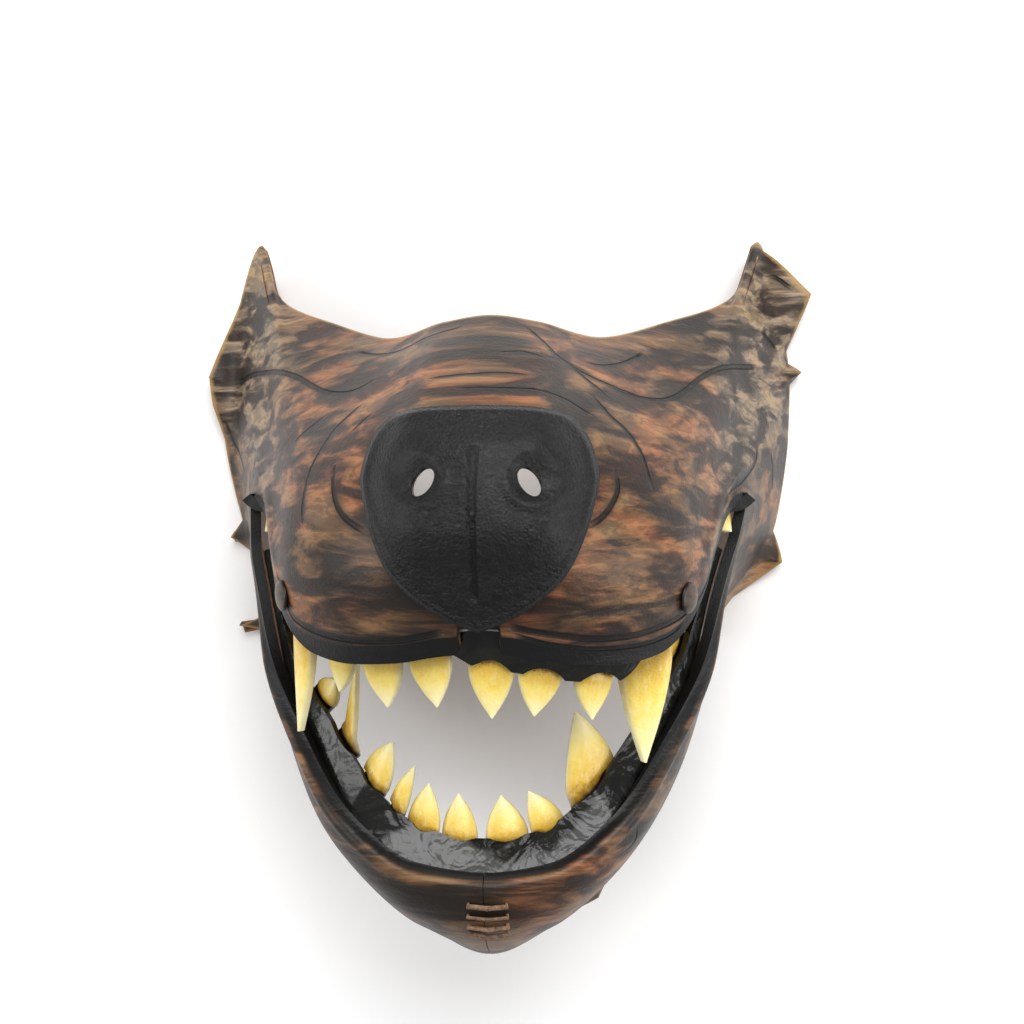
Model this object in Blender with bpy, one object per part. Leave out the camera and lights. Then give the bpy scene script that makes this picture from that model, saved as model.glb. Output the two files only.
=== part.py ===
"""Leather wolf mask: a wet-formed leather muzzle with a moulded nose, gums, carved leather teeth and
a laced chin. It lies on the back rims of its cheeks with the muzzle pointing up. X runs across the
face, Y from the chin up to the brow, and Z from the back rims to the nose. Lengths are in metres."""

import collections
import functools
import math

import bmesh
import bpy
import numpy as np
from mathutils import Vector
from mathutils.bvhtree import BVHTree

# Overall form of the shell, without tufts
WIDTH = 0.180
HEIGHT = 0.210
DEPTH = 0.145
LEATHER = 0.003
FIT_GAP = 0.0003
LAYER_GAP = 0.0005
TOOTH_GAP = 0.0009

# Mouth edge: the rolled jaw rim, the notch under the nose and the chin seam
ROLL_HEIGHT = 0.0014
ROLL_WIDTH = 0.0040
NOTCH_HALF = 0.0052
NOTCH_DEPTH = 0.0070
NOTCH_FADE = 3
SEAM_GAP = 0.0006
JAW_SWAY = -0.0024
CHIN_SWAY = 0.45
SWAY_FADE = 1.5

# Fur tufts cut along the outer edge
TUFT_REACH = 0.0120
TUFT_BLEND = 0.0140
TUFT_LIFT = 1.6

# Nose pad and nostrils
NOSE_HALF_WIDTH = 0.0287
NOSE_HEIGHT = 0.0540
NOSE_WIDE = 0.0120
NOSE_ABOVE_LIP = 0.0065
NOSE_LEATHER = 0.0026
NOSE_SWELL = 0.0026
NOSE_SHOULDER = 2.2
NOSE_EDGE = 0.75
NOSE_BACK_GAP = 0.0012
NOSE_EDGE_GAP = 0.0009
NOSTRIL_APART = 0.0130
NOSTRIL_UP = 0.0093
NOSTRIL_HOLLOW = 0.0056
NOSTRIL_WIDTH = 0.0044
NOSTRIL_LENGTH = 0.0078
NOSTRIL_TILT = math.radians(36)

# Gum strips
GUM_LEATHER = 0.0020
GUM_TUCK = 0.0042
GUM_EASE = 0.0008
UPPER_GUM_SHOW = 0.0038
UPPER_SCALLOP = 0.0030
LOWER_GUM_SHOW = 0.0105
LOWER_SCALLOP = 0.0012
UPPER_LEAN = math.radians(8)
LOWER_LEAN = math.radians(28)
LOWER_NARROWS = 0.8
LOWER_NARROWING = 1.2

# Teeth
TOOTH_THICKNESS = 0.0036
TOOTH_RIDGE = 0.0010
TOOTH_ROOT = 0.0030
TIP_THINS = 0.45
INCISOR_WIDTH = 0.0126
INCISOR_LENGTH = 0.0140
CANINE_WIDTH = 0.0150
CANINE_LENGTH = 0.0260
PREMOLAR_WIDTH = 0.0120
PREMOLAR_LENGTH = 0.0095

# Chin lace
LACE_ROWS = 4
LACE_FIRST = 0.0095
LACE_PITCH = 0.0036
LACE_REACH = 0.0050
LACE_WIDTH = 0.0020
LACE_THICKNESS = 0.0011
LACE_FIT = 0.0004

# Rivets
RIVET_DIAMETER = 0.0084
RIVET_HEIGHT = 0.0012
RIVET_GAP = 0.0009

# How finely the pieces are divided
SHARP_ANGLE = math.radians(40)
FRAME_STEP = 0.2
LEAN_BEND = 0.0040
LEAN_BASE = 0.0120
NOTCH_STEP = 0.04
BASE_STEP = 0.02
NOSE_POINTS = 32
NOSE_RINGS = (0.12, 0.34, 0.52, 0.68, 0.82, 0.94, 1)
NOSTRIL_SIDES = 12
RIVET_SIDES = 12
UPPER_GUM_STEPS = 41
LOWER_GUM_STEPS = 49

Section = collections.namedtuple("Section", "name lip front swell waist rim")
# One row for each line drawn over the leather from the mouth edge to the outer edge. Each point is
# (out, up, fore): shares of half the width, of the height from the chin and of the depth.
SECTIONS = (
    Section("chin", (0, 0.133, 0.71), (0, 0.110, 0.73), (0, 0.067, 0.703), (0, 0.029, 0.634), (0, 0, 0.531)),
    Section("chin_side", (0.20, 0.145, 0.703), (0.206, 0.121, 0.72), (0.211, 0.083, 0.686),
            (0.206, 0.052, 0.614), (0.189, 0.031, 0.503)),
    Section("jaw_bend", (0.40, 0.205, 0.669), (0.428, 0.186, 0.676), (0.467, 0.162, 0.62),
            (0.461, 0.140, 0.531), (0.422, 0.124, 0.428)),
    Section("arm_low", (0.556, 0.295, 0.579), (0.583, 0.281, 0.572), (0.617, 0.267, 0.503),
            (0.628, 0.257, 0.42), (0.622, 0.248, 0.317)),
    Section("arm_middle", (0.685, 0.395, 0.50), (0.705, 0.388, 0.476), (0.717, 0.381, 0.393),
            (0.718, 0.374, 0.29), (0.722, 0.367, 0.166)),
    Section("arm_high", (0.742, 0.486, 0.47), (0.756, 0.479, 0.414), (0.758, 0.467, 0.303),
            (0.755, 0.448, 0.166), (0.761, 0.424, 0)),
    Section("below_corner", (0.784, 0.557, 0.441), (0.805, 0.555, 0.386), (0.832, 0.548, 0.276),
            (0.872, 0.538, 0.145), (0.922, 0.529, 0)),
    Section("corner", (0.80, 0.619, 0.441), (0.822, 0.614, 0.372), (0.861, 0.61, 0.269),
            (0.911, 0.605, 0.138), (0.961, 0.60, 0)),
    Section("above_corner", (0.733, 0.59, 0.503), (0.767, 0.638, 0.455), (0.833, 0.662, 0.317),
            (0.922, 0.686, 0.152), (0.994, 0.705, 0)),
    Section("cheek", (0.689, 0.548, 0.593), (0.722, 0.61, 0.545), (0.783, 0.671, 0.386),
            (0.90, 0.738, 0.172), (1.0, 0.79, 0)),
    Section("wing", (0.644, 0.49, 0.683), (0.683, 0.571, 0.641), (0.728, 0.667, 0.469),
            (0.844, 0.79, 0.207), (0.961, 0.89, 0.02)),
    Section("wing_tip", (0.583, 0.445, 0.752), (0.633, 0.533, 0.717), (0.667, 0.657, 0.579),
            (0.767, 0.829, 0.283), (0.878, 1, 0.062)),
    Section("wing_inside", (0.50, 0.417, 0.80), (0.578, 0.524, 0.793), (0.60, 0.648, 0.683),
            (0.667, 0.79, 0.414), (0.778, 0.91, 0.159)),
    Section("eye_side", (0.378, 0.407, 0.855), (0.456, 0.524, 0.883), (0.478, 0.648, 0.80),
            (0.50, 0.771, 0.552), (0.556, 0.862, 0.338)),
    Section("eye_low", (0.244, 0.41, 0.897), (0.289, 0.533, 0.952), (0.30, 0.657, 0.91),
            (0.311, 0.762, 0.717), (0.317, 0.829, 0.51)),
    Section("bridge_side", (0.122, 0.419, 0.921), (0.133, 0.567, 0.997), (0.139, 0.686, 0.969),
            (0.139, 0.776, 0.81), (0.144, 0.843, 0.614)),
    Section("bridge", (0, 0.424, 0.928), (0, 0.571, 1.007), (0, 0.69, 0.979), (0, 0.779, 0.824),
            (0, 0.85, 0.641)),
)
CORNER = [section.name for section in SECTIONS].index("corner")
MIDDLE = len(SECTIONS) - 1
ROWS_TO_ROLL = 3
ROWS_BEYOND = 10
STEPS_A_SECTION = 3
TUFT_STEPS = (-1, 0, 1)
FINE_STEPS = 49
LINE_STEPS = 161

Tuft = collections.namedtuple("Tuft", "side at spread reach heading")
# side 1 is right and -1 left, at and spread count sections, reach is a share of TUFT_REACH, and
# heading is the way that the tuft points, in degrees from straight out towards straight up.
TUFTS = (
    Tuft(1, 10.12, 0.62, 0.90, 20),
    Tuft(1, 9.15, 0.16, 0.30, 5),
    Tuft(1, 5.95, 0.55, 0.50, -15),
    Tuft(1, 1.60, 0.30, 0.20, -45),
    Tuft(-1, 8.60, 2.60, 0.30, 0),
    Tuft(-1, 9.10, 1.10, 0.28, 5),
    Tuft(-1, 6.40, 0.35, 0.35, -10),
    Tuft(-1, 4.98, 0.30, 1.40, -3),
)

Tooth = collections.namedtuple("Tooth", "name jaw at kind width length bend turn")
# at is a signed share of the mouth line from its middle to the corner, width and length are shares of
# the kind's own, bend moves the tip sideways as a share of the width, and turn twists the crown about
# its own length, in degrees.
TEETH = (
    Tooth("upper_incisor_left_1", "upper", -0.131, "incisor", 0.97, 1.20, 0.05, 0),
    Tooth("upper_incisor_left_2", "upper", -0.262, "incisor", 1.02, 1.10, 0.10, 0),
    Tooth("upper_incisor_left_3", "upper", -0.388, "incisor", 0.84, 0.92, 0.0, 0),
    Tooth("upper_canine_left", "upper", -0.520, "canine", 0.84, 1.20, -0.05, 0),
    Tooth("upper_premolar_left", "upper", -0.92, "premolar", 0.90, 0.80, 0.0, 0),
    Tooth("upper_incisor_right_1", "upper", 0.024, "incisor", 0.97, 1.25, 0.05, 0),
    Tooth("upper_incisor_right_2", "upper", 0.154, "incisor", 0.97, 1.05, -0.05, 0),
    Tooth("upper_incisor_right_3", "upper", 0.288, "incisor", 0.92, 1.02, 0.0, 0),
    Tooth("upper_canine_right", "upper", 0.432, "canine", 0.98, 1.25, -0.10, 30),
    Tooth("upper_premolar_right", "upper", 0.92, "premolar", 0.90, 0.80, 0.0, 0),
    Tooth("lower_incisor_left_1", "lower", -0.060, "incisor", 0.80, 0.98, -0.12, 0),
    Tooth("lower_incisor_left_2", "lower", -0.148, "incisor", 0.76, 0.98, -0.05, 0),
    Tooth("lower_incisor_left_3", "lower", -0.230, "incisor", 0.44, 1.0, 0.30, 0),
    Tooth("lower_incisor_left_4", "lower", -0.315, "incisor", 0.80, 0.98, 0.20, 0),
    Tooth("lower_canine_left", "lower", -0.430, "canine", 0.74, 0.92, 0.0, -25),
    Tooth("lower_premolar_left_1", "lower", -0.540, "premolar", 0.80, 0.80, 0.0, 0),
    Tooth("lower_premolar_left_2", "lower", -0.665, "premolar", 1.0, 1.0, 0.0, 0),
    Tooth("lower_premolar_left_3", "lower", -0.790, "premolar", 0.95, 0.90, 0.0, 0),
    Tooth("lower_incisor_right_1", "lower", 0.050, "incisor", 0.95, 0.98, -0.10, 0),
    Tooth("lower_incisor_right_2", "lower", 0.158, "incisor", 0.78, 0.92, -0.35, 0),
    Tooth("lower_canine_right", "lower", 0.306, "canine", 1.12, 0.88, -0.15, -4),
    Tooth("lower_premolar_right_1", "lower", 0.545, "premolar", 0.95, 1.0, 0.0, 0),
    Tooth("lower_premolar_right_2", "lower", 0.660, "premolar", 1.0, 1.0, 0.0, 0),
    Tooth("lower_premolar_right_3", "lower", 0.785, "premolar", 1.0, 0.95, 0.0, 0),
)
# A crown's outline round its thickness, as (side, depth, share of the ridge)
TOOTH_OUTLINE = ((-1, 0.45, 0), (-0.3, 0, 1), (0.3, 0, 1), (1, 0.45, 0), (0.9, 1, 0), (-0.9, 1, 0))
# How full each kind is down its length, how upright it stands, and how square to its base
TOOTH_FULLNESS = {"incisor": 2.1, "canine": 1.5, "premolar": 1.7}
UPRIGHT = {"incisor": 1.5, "canine": 5, "premolar": 0}
SQUARE = {"incisor": 0.5, "canine": 0.5, "premolar": 0}
# A tooth's width at its base and tip as shares of its own, and where along it the widest place is
TOOTH_BASE = 0.90
TOOTH_TIP = 0.05
TOOTH_NECK = 0.18
TOOTH_PARTS = (-1, 0, 0.18, 0.50, 0.80, 1)
KIND_SIZES = {
    "incisor": (INCISOR_WIDTH, INCISOR_LENGTH),
    "canine": (CANINE_WIDTH, CANINE_LENGTH),
    "premolar": (PREMOLAR_WIDTH, PREMOLAR_LENGTH),
}
# Half a nose outline, as (across, up): shares of its half width and of its height from the middle
NOSE_OUTLINE = (
    (0, 0.50), (0.42, 0.495), (0.68, 0.475), (0.86, 0.40), (0.96, 0.29), (1, 0.18), (0.96, 0.06),
    (0.89, -0.07), (0.75, -0.23), (0.51, -0.36), (0.24, -0.45), (0, -0.50),
)
# How far along its half of the mouth line the upper gum shows below the lip, on the left and right
UPPER_GUM_SHOWN = {-1: 0, 1: 0.33}
Rivet = collections.namedtuple("Rivet", "name at above")
# at is a signed share of the upper mouth line, and above is the distance from the lip.
RIVETS = (Rivet("rivet_left", -0.48, 0.0110), Rivet("rivet_right", 0.45, 0.0130))

Jaw = collections.namedtuple("Jaw", "middle way show scallop lean gum_end gum_steps")
# middle is the section at the middle of the jaw's mouth line, way is the step towards the corner, and
# gum_end is where the gum strip ends, as a share of the mouth line.
JAWS = {
    "upper": Jaw(MIDDLE, -1, UPPER_GUM_SHOW, UPPER_SCALLOP, UPPER_LEAN, 0.455, UPPER_GUM_STEPS),
    "lower": Jaw(0, 1, LOWER_GUM_SHOW, LOWER_SCALLOP, LOWER_LEAN, 0.88, LOWER_GUM_STEPS),
}


def smooth_through(values, at):
    """Points at the given places on a smooth curve that runs through the rows of values, one step
    apart, without swinging past them."""
    values = np.asarray(values, float)
    at = np.clip(np.asarray(at, float), 0, len(values) - 1)
    steps = np.diff(values, axis=0)
    product = steps[:-1] * steps[1:]
    total = steps[:-1] + steps[1:]
    inner = np.where(product > 0, 2 * product / np.where(total == 0, 1, total), 0)
    slopes = np.concatenate([steps[:1], inner, steps[-1:]])
    low = np.minimum(at.astype(int), len(values) - 2)
    part = (at - low).reshape((-1,) + (1,) * (values.ndim - 1))
    rise = 3 * part**2 - 2 * part**3
    leave = part**3 - 2 * part**2 + part
    arrive = part**3 - part**2
    curve = values[low] + (values[low + 1] - values[low]) * rise
    return curve + slopes[low] * leave + slopes[low + 1] * arrive


def smooth_step(value):
    value = min(1, max(0, value))
    return 3 * value**2 - 2 * value**3


def unit(vectors):
    return vectors / np.linalg.norm(vectors, axis=-1, keepdims=True)


def controls():
    """The sections' points in metres, with a mirrored section before the chin and after the bridge."""
    size = np.array((WIDTH / 2, HEIGHT, DEPTH))
    points = np.array([section[1:] for section in SECTIONS]) * size
    mirror = np.array((-1, 1, 1))
    return np.concatenate([points[1:2] * mirror, points, points[-2:-1] * mirror])


CONTROLS = controls()
NOSE_CENTRE_UP = SECTIONS[MIDDLE].lip[1] * HEIGHT + NOSE_ABOVE_LIP + NOSE_HEIGHT / 2
NOTCH_AT = MIDDLE - NOTCH_HALF / CONTROLS[-3][0][0]
FINE = np.linspace(0, CONTROLS.shape[1] - 1, FINE_STEPS)


def section_curve(at):
    """A finely divided line over the right half at section number at, and the distance along it."""
    points = smooth_through(smooth_through(CONTROLS, [at + 1])[0], FINE)
    steps = np.linalg.norm(np.diff(points, axis=0), axis=1)
    return points, np.concatenate([[0], np.cumsum(steps)])


def on_section(at, distances):
    """Points of the right half's skin at distances from the mouth edge."""
    points, length = section_curve(at)
    return np.stack([np.interp(distances, length, points[:, axis]) for axis in range(3)], axis=1)


def sway(at):
    """How far the jaw sits to one side, as made: most along its arms, and nothing past the corner."""
    bow = CHIN_SWAY + (1 - CHIN_SWAY) * math.sin(math.pi * min(at, CORNER) / CORNER)
    return np.array((JAW_SWAY * bow * smooth_step((CORNER - at) / SWAY_FADE), 0, 0))


def tuft_push(side, at, distances, length):
    """How far each point of a section is moved by the tufts cut in the edge beside it."""
    push = np.zeros((len(distances), 3))
    near_rim = np.clip(1 - (length - distances) / TUFT_BLEND, 0, 1) ** 2
    for tuft in TUFTS:
        if tuft.side != side or abs(at - tuft.at) >= tuft.spread:
            continue
        weight = smooth_step(1 - abs(at - tuft.at) / tuft.spread)
        heading = math.radians(tuft.heading)
        reach = TUFT_REACH * tuft.reach
        way = np.array((math.cos(heading) * reach, math.sin(heading) * reach, TUFT_LIFT * LEATHER))
        push += near_rim[:, None] * weight * way
    return push


def section_places(side):
    """Where the shell's sections stand on one half: even steps, with more at the notch and tufts."""
    places = {step / STEPS_A_SECTION for step in range(MIDDLE * STEPS_A_SECTION + 1)}
    places |= {NOTCH_AT - NOTCH_STEP, NOTCH_AT + NOTCH_STEP}
    for tuft in TUFTS:
        if tuft.side == side:
            places |= {tuft.at + tuft.spread * step for step in TUFT_STEPS}
    kept = []
    for place in sorted(places):
        if not kept or place - kept[-1] > NOTCH_STEP:
            kept.append(place)
    return kept


def half_grid(side, notched):
    """One half of the outer skin, from the chin to the bridge."""
    half = []
    for at in section_places(side):
        length = section_curve(at)[1][-1]
        edge_rows = np.linspace(0, 2 * ROLL_WIDTH, ROWS_TO_ROLL, endpoint=False)
        distances = np.concatenate([edge_rows, np.linspace(2 * ROLL_WIDTH, length, ROWS_BEYOND)])
        if notched and at > NOTCH_AT:
            distances += NOTCH_DEPTH * np.clip(1 - distances / (NOTCH_FADE * NOTCH_DEPTH), 0, 1)
        points = on_section(at, distances) + tuft_push(side, at, distances, length)
        points[:, 0] += SEAM_GAP / 2 * max(0, 1 - at)
        half.append(points * np.array((side, 1, 1)) + sway(at))
    return half


def shell_grid(notched=True):
    """The outer skin as a grid: sections from the chin round by the bridge to the chin again along
    the first axis, rows from the mouth edge to the outer edge along the second."""
    right, left = (half_grid(side, notched) for side in (1, -1))
    places = section_places(1) + section_places(-1)[-2::-1]
    return np.array(right + left[-2::-1]), np.array(places)


def grid_normals(grid):
    """Outward normals of a grid that runs counter-clockwise round the mouth, with rows outwards."""
    return unit(np.cross(np.gradient(grid, axis=1), np.gradient(grid, axis=0)))


def roll_relief(places):
    """The rolled jaw rim: a ridge one roll width in from the mouth edge, gone before the corner."""
    return ROLL_HEIGHT * np.clip((CORNER - 1 - places) / 2, 0, 1)


def shell_skins(notched=True):
    grid, places = shell_grid(notched)
    normals = grid_normals(grid)
    outer = grid.copy()
    outer[:, 1] += normals[:, 1] * roll_relief(places)[:, None]
    inner = grid - normals * LEATHER
    for skin in (outer, inner):
        skin[..., 2] = np.maximum(skin[..., 2], 0)
    return outer, inner


def sheet_between(front, back):
    """Points and faces of a closed sheet between two grids of the same size."""
    columns, rows = front.shape[:2]
    half = columns * rows
    faces = []
    for column in range(columns - 1):
        for row in range(rows - 1):
            start = column * rows + row
            quad = (start, start + rows, start + rows + 1, start + 1)
            faces.append(quad)
            faces.append(tuple(half + corner for corner in reversed(quad)))
    around = [column * rows for column in range(columns)]
    around += [(columns - 1) * rows + row for row in range(1, rows)]
    around += [column * rows + rows - 1 for column in range(columns - 2, -1, -1)]
    around += list(range(rows - 2, 0, -1))
    for here, there in zip(around, around[1:] + around[:1]):
        faces.append((here, half + here, half + there, there))
    return np.concatenate([front.reshape(-1, 3), back.reshape(-1, 3)]), faces


def rings_closed(rings):
    """Points and faces of a closed body made of rings of points, with a fan over each end."""
    rings = np.asarray(rings)
    count, around = rings.shape[:2]
    points = np.concatenate([rings.reshape(-1, 3), rings[0].mean(0)[None], rings[-1].mean(0)[None]])
    first, last = count * around, count * around + 1
    faces = []
    for here in range(around):
        there = (here + 1) % around
        faces.append((first, there, here))
        faces.append((last, (count - 1) * around + here, (count - 1) * around + there))
        for ring in range(count - 1):
            low, high = ring * around, (ring + 1) * around
            faces.append((low + here, low + there, high + there, high + here))
    return points, faces


def leather(name, colour, roughness):
    material = bpy.data.materials.new(name)
    material.use_nodes = True
    shader = material.node_tree.nodes["Principled BSDF"]
    shader.inputs["Base Color"].default_value = (*colour, 1)
    shader.inputs["Roughness"].default_value = roughness
    shader.inputs["Metallic"].default_value = 0
    return material


def solid(name, points, faces, material):
    """A named object of one closed body, faces outwards, shaded smooth between its sharp edges."""
    bm = bmesh.new()
    corners = [bm.verts.new(point) for point in points]
    for face in faces:
        bm.faces.new([corners[number] for number in face])
    bmesh.ops.recalc_face_normals(bm, faces=bm.faces)
    mesh = bpy.data.meshes.new(name)
    bm.to_mesh(mesh)
    bm.free()
    mesh.shade_smooth()
    mesh.set_sharp_from_angle(angle=SHARP_ANGLE)
    if material:
        mesh.materials.append(material)
    obj = bpy.data.objects.new(name, mesh)
    bpy.context.collection.objects.link(obj)
    return obj


def cut(obj, cutter):
    cutter.hide_render = True
    cutter.display_type = "WIRE"
    hole = obj.modifiers.new(cutter.name, "BOOLEAN")
    hole.operation = "DIFFERENCE"
    hole.solver = "EXACT"
    hole.object = cutter


@functools.cache
def mouth_line(jaw):
    """Steps along one half of a jaw's mouth line, and the distance walked to each."""
    steps = np.linspace(0, abs(JAWS[jaw].middle - CORNER), LINE_STEPS)
    edge = np.array([on_section(JAWS[jaw].middle + JAWS[jaw].way * step, [0])[0] for step in steps])
    return steps, np.concatenate([[0], np.cumsum(np.linalg.norm(np.diff(edge, axis=0), axis=1))])


def mouth_place(jaw, share):
    """The section number, counted from the middle of the jaw's mouth line, at a signed share of it."""
    steps, walked = mouth_line(jaw)
    return math.copysign(np.interp(abs(share), walked / walked[-1], steps), share)


def skin_point(jaw, place, distance):
    """The skin beside a jaw's mouth line, at a signed section number from its middle."""
    at = JAWS[jaw].middle + JAWS[jaw].way * abs(place)
    return on_section(at, [distance])[0] * np.array((math.copysign(1, place), 1, 1)) + sway(at)


def skin_frame(jaw, place, distance, base):
    """A point of the skin with its outward normal, taken over a base length, and its direction along
    the mouth line."""
    here = skin_point(jaw, place, distance)
    near, far = (skin_point(jaw, place + step, distance) for step in (-FRAME_STEP, FRAME_STEP))
    along = unit(far - near)
    back = skin_point(jaw, place, distance + base) - here
    return here, unit(np.cross(along, back)) * -JAWS[jaw].way, along


def mouth_lean(jaw, place):
    """How a layer past the mouth edge lies: its outward normal, and its way into the mouth."""
    _, out, along = skin_frame(jaw, place, 0, LEAN_BASE)
    past = np.cross(out, along) * JAWS[jaw].way
    lean = JAWS[jaw].lean
    return math.cos(lean) * out + math.sin(lean) * past, math.cos(lean) * past - math.sin(lean) * out


def layer_point(jaw, place, reach, depth):
    """A point at a depth below the leather's face and at a reach past the mouth edge. Before the
    edge it follows the skin, and past the edge the layer leans into the mouth."""
    here, out, _ = skin_frame(jaw, place, max(0, -reach), LEATHER)
    leaning_out, leaning_past = mouth_lean(jaw, place)
    part = min(1, max(0, 0.5 + reach / LEAN_BEND))
    across = unit((1 - part) * out + part * leaning_out)
    start = LEATHER + LAYER_GAP
    return here - start * out + max(0, reach) * leaning_past - (depth - start) * across


def gum_reach(jaw, share):
    """How far a gum strip shows past the mouth edge: scalloped round the teeth, and narrower or
    tucked away towards the corner."""
    line = mouth_line(jaw)[1][-1]
    nearest = 1
    for tooth in TEETH:
        if tooth.jaw == jaw:
            half = tooth.width * KIND_SIZES[tooth.kind][0] / 2 / line
            nearest = min(nearest, abs(share - tooth.at) / half)
    reach = JAWS[jaw].show + JAWS[jaw].scallop * nearest**2
    if jaw == "upper":
        past = abs(share) - UPPER_GUM_SHOWN[int(math.copysign(1, share))]
        return reach - (reach + GUM_TUCK / 4) * smooth_step(past * line / INCISOR_WIDTH)
    return reach * (1 - LOWER_NARROWS * abs(share / JAWS[jaw].gum_end) ** LOWER_NARROWING)


def gum_depth(reach):
    """How deep a gum strip's face lies below the skin: deeper where it is tucked away."""
    return LEATHER + LAYER_GAP + GUM_EASE * max(0, -reach) / GUM_TUCK


def make_gum(jaw, material):
    """A strip of leather tucked behind the mouth edge."""
    end = JAWS[jaw].gum_end
    front, back = [], []
    for share in np.linspace(-end, end, JAWS[jaw].gum_steps):
        place = mouth_place(jaw, share)
        reach = gum_reach(jaw, share)
        knee = min(0, reach - GUM_TUCK / 4)
        rows = [-GUM_TUCK, (knee - GUM_TUCK) / 2, knee, (knee + reach) / 2, reach]
        front.append([layer_point(jaw, place, row, gum_depth(row)) for row in rows])
        back.append([layer_point(jaw, place, row, gum_depth(row) + GUM_LEATHER) for row in rows])
    return solid(f"{jaw}_gum", *sheet_between(np.array(front), np.array(back)), material)


def tooth_half_width(kind, part):
    """Half a tooth's width as a share of it, from the gum (0) to the tip (1)."""
    neck = TOOTH_BASE + (1 - TOOTH_BASE) * smooth_step(part / TOOTH_NECK)
    taper = max(0, (part - TOOTH_NECK) / (1 - TOOTH_NECK)) ** TOOTH_FULLNESS[kind]
    return 0.5 * neck * (1 - (1 - TOOTH_TIP) * taper)


def tooth_ways(tooth):
    """The way a tooth's crown points, past the gum and upright for the front teeth, and the way
    across it."""
    place = mouth_place(tooth.jaw, tooth.at)
    past = mouth_lean(tooth.jaw, place)[1]
    upright = np.array((0, JAWS[tooth.jaw].way, 0)) * UPRIGHT[tooth.kind]
    way = unit(past + upright)
    along = skin_frame(tooth.jaw, place, 0, LEAN_BASE)[2]
    across = unit(along - SQUARE[tooth.kind] * np.dot(along, way) * way)
    turn = math.radians(tooth.turn)
    return way, math.cos(turn) * across + math.sin(turn) * np.cross(way, across)


def tooth_base(tooth, share, deep, part):
    """A point of a tooth's root or base, which follow the gum strip or, past its end, the skin."""
    reach = gum_reach(tooth.jaw, share) + min(0, part) * TOOTH_ROOT
    held_by = GUM_LEATHER + TOOTH_GAP if abs(tooth.at) < JAWS[tooth.jaw].gum_end else 0
    return layer_point(tooth.jaw, mouth_place(tooth.jaw, share), reach, gum_depth(reach) + held_by + deep)


def make_tooth(tooth, material):
    """A carved tooth with a flat back and a ridged front. Its crown is flat, and its base follows
    the gum's edge."""
    width, length = np.array(KIND_SIZES[tooth.kind]) * (tooth.width, tooth.length)
    ends = [tooth_base(tooth, tooth.at + step * BASE_STEP, 0, 0) for step in (-1, 1)]
    line = np.linalg.norm(ends[1] - ends[0]) / (2 * BASE_STEP)
    way, across = tooth_ways(tooth)
    rings = []
    for part in TOOTH_PARTS:
        half = tooth_half_width(tooth.kind, part) * width
        aside = across * tooth.bend * width * max(0, part) ** 2
        thick = TOOTH_THICKNESS * (1 - TIP_THINS * max(0, part) ** 2)
        ridge = TOOTH_RIDGE * min(1, max(0, 4 * part)) * (1 - max(0, part))
        flat = smooth_step(part / TOOTH_NECK)
        ring = []
        for side, deep, proud in TOOTH_OUTLINE:
            depth = deep * thick - proud * ridge
            curved = tooth_base(tooth, tooth.at + side * half / line, depth, part)
            straight = tooth_base(tooth, tooth.at, depth, part) + side * half * across
            ring.append((1 - flat) * curved + flat * straight + aside + max(0, part) * length * way)
        rings.append(ring)
    return solid(tooth.name, *rings_closed(rings), material)


def skin_tree(outer):
    """The shell's face as a surface that pieces can be laid on."""
    columns, rows = outer.shape[:2]
    faces = [
        (start, start + rows, start + rows + 1, start + 1)
        for start in (column * rows + row for column in range(columns - 1) for row in range(rows - 1))
    ]
    return BVHTree.FromPolygons([tuple(point) for point in outer.reshape(-1, 3)], faces)


def height_at(tree, across, up):
    return tree.ray_cast(Vector((across, up, 2 * DEPTH)), Vector((0, 0, -1)))[0].z


def laid_on(tree, across, up, lift):
    """A point over the shell's face, lifted along the face's own slope."""
    step = 0.5 * LEATHER
    height = height_at(tree, across, up)
    slope = Vector((
        height_at(tree, across - step, up) - height_at(tree, across + step, up),
        height_at(tree, across, up - step) - height_at(tree, across, up + step),
        2 * step,
    )).normalized()
    return np.array((across, up, height)) + lift * np.array(slope)


def nose_outline(count):
    """The nose's outline, counter-clockwise, as offsets from its middle in metres."""
    half = np.array(NOSE_OUTLINE) * (NOSE_HALF_WIDTH, NOSE_HEIGHT)
    places = np.linspace(0, len(half) - 1, count // 2 + 1)
    right = smooth_through(half, places)
    left = right[-2:0:-1] * (-1, 1)
    return np.concatenate([right, left])


def nose_thickness(across, up, part):
    """Thickness of the nose pad: fuller inside its edge, hollow round the nostrils."""
    above_tip = smooth_step((up + NOSE_HEIGHT / 4) / NOSE_WIDE)
    full = NOSE_SWELL * smooth_step(NOSE_SHOULDER * (1 - part)) * above_tip
    hollow = 0
    for side in (-1, 1):
        away = math.hypot(across - side * NOSTRIL_APART, up - NOSTRIL_UP) / NOSTRIL_HOLLOW
        hollow += math.exp(-(away**2)) * NOSE_SWELL
    return NOSE_LEATHER + full - hollow


def make_nose(tree, material):
    """The nose pad, laid on the front of the muzzle."""
    outline = nose_outline(NOSE_POINTS)
    front, back = [], []
    for part in NOSE_RINGS:
        front_ring, back_ring = [], []
        for across, up in outline * part:
            rise = NOSE_CENTRE_UP + up
            thickness = nose_thickness(across, up, part) * (NOSE_EDGE if part == 1 else 1)
            gap = NOSE_EDGE_GAP if part == 1 else NOSE_BACK_GAP
            back_ring.append(laid_on(tree, across, rise, gap))
            front_ring.append(laid_on(tree, across, rise, LAYER_GAP + thickness))
        front.append(front_ring)
        back.append(back_ring)
    return solid("nose", *rings_closed(front + back[::-1]), material)


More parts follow.
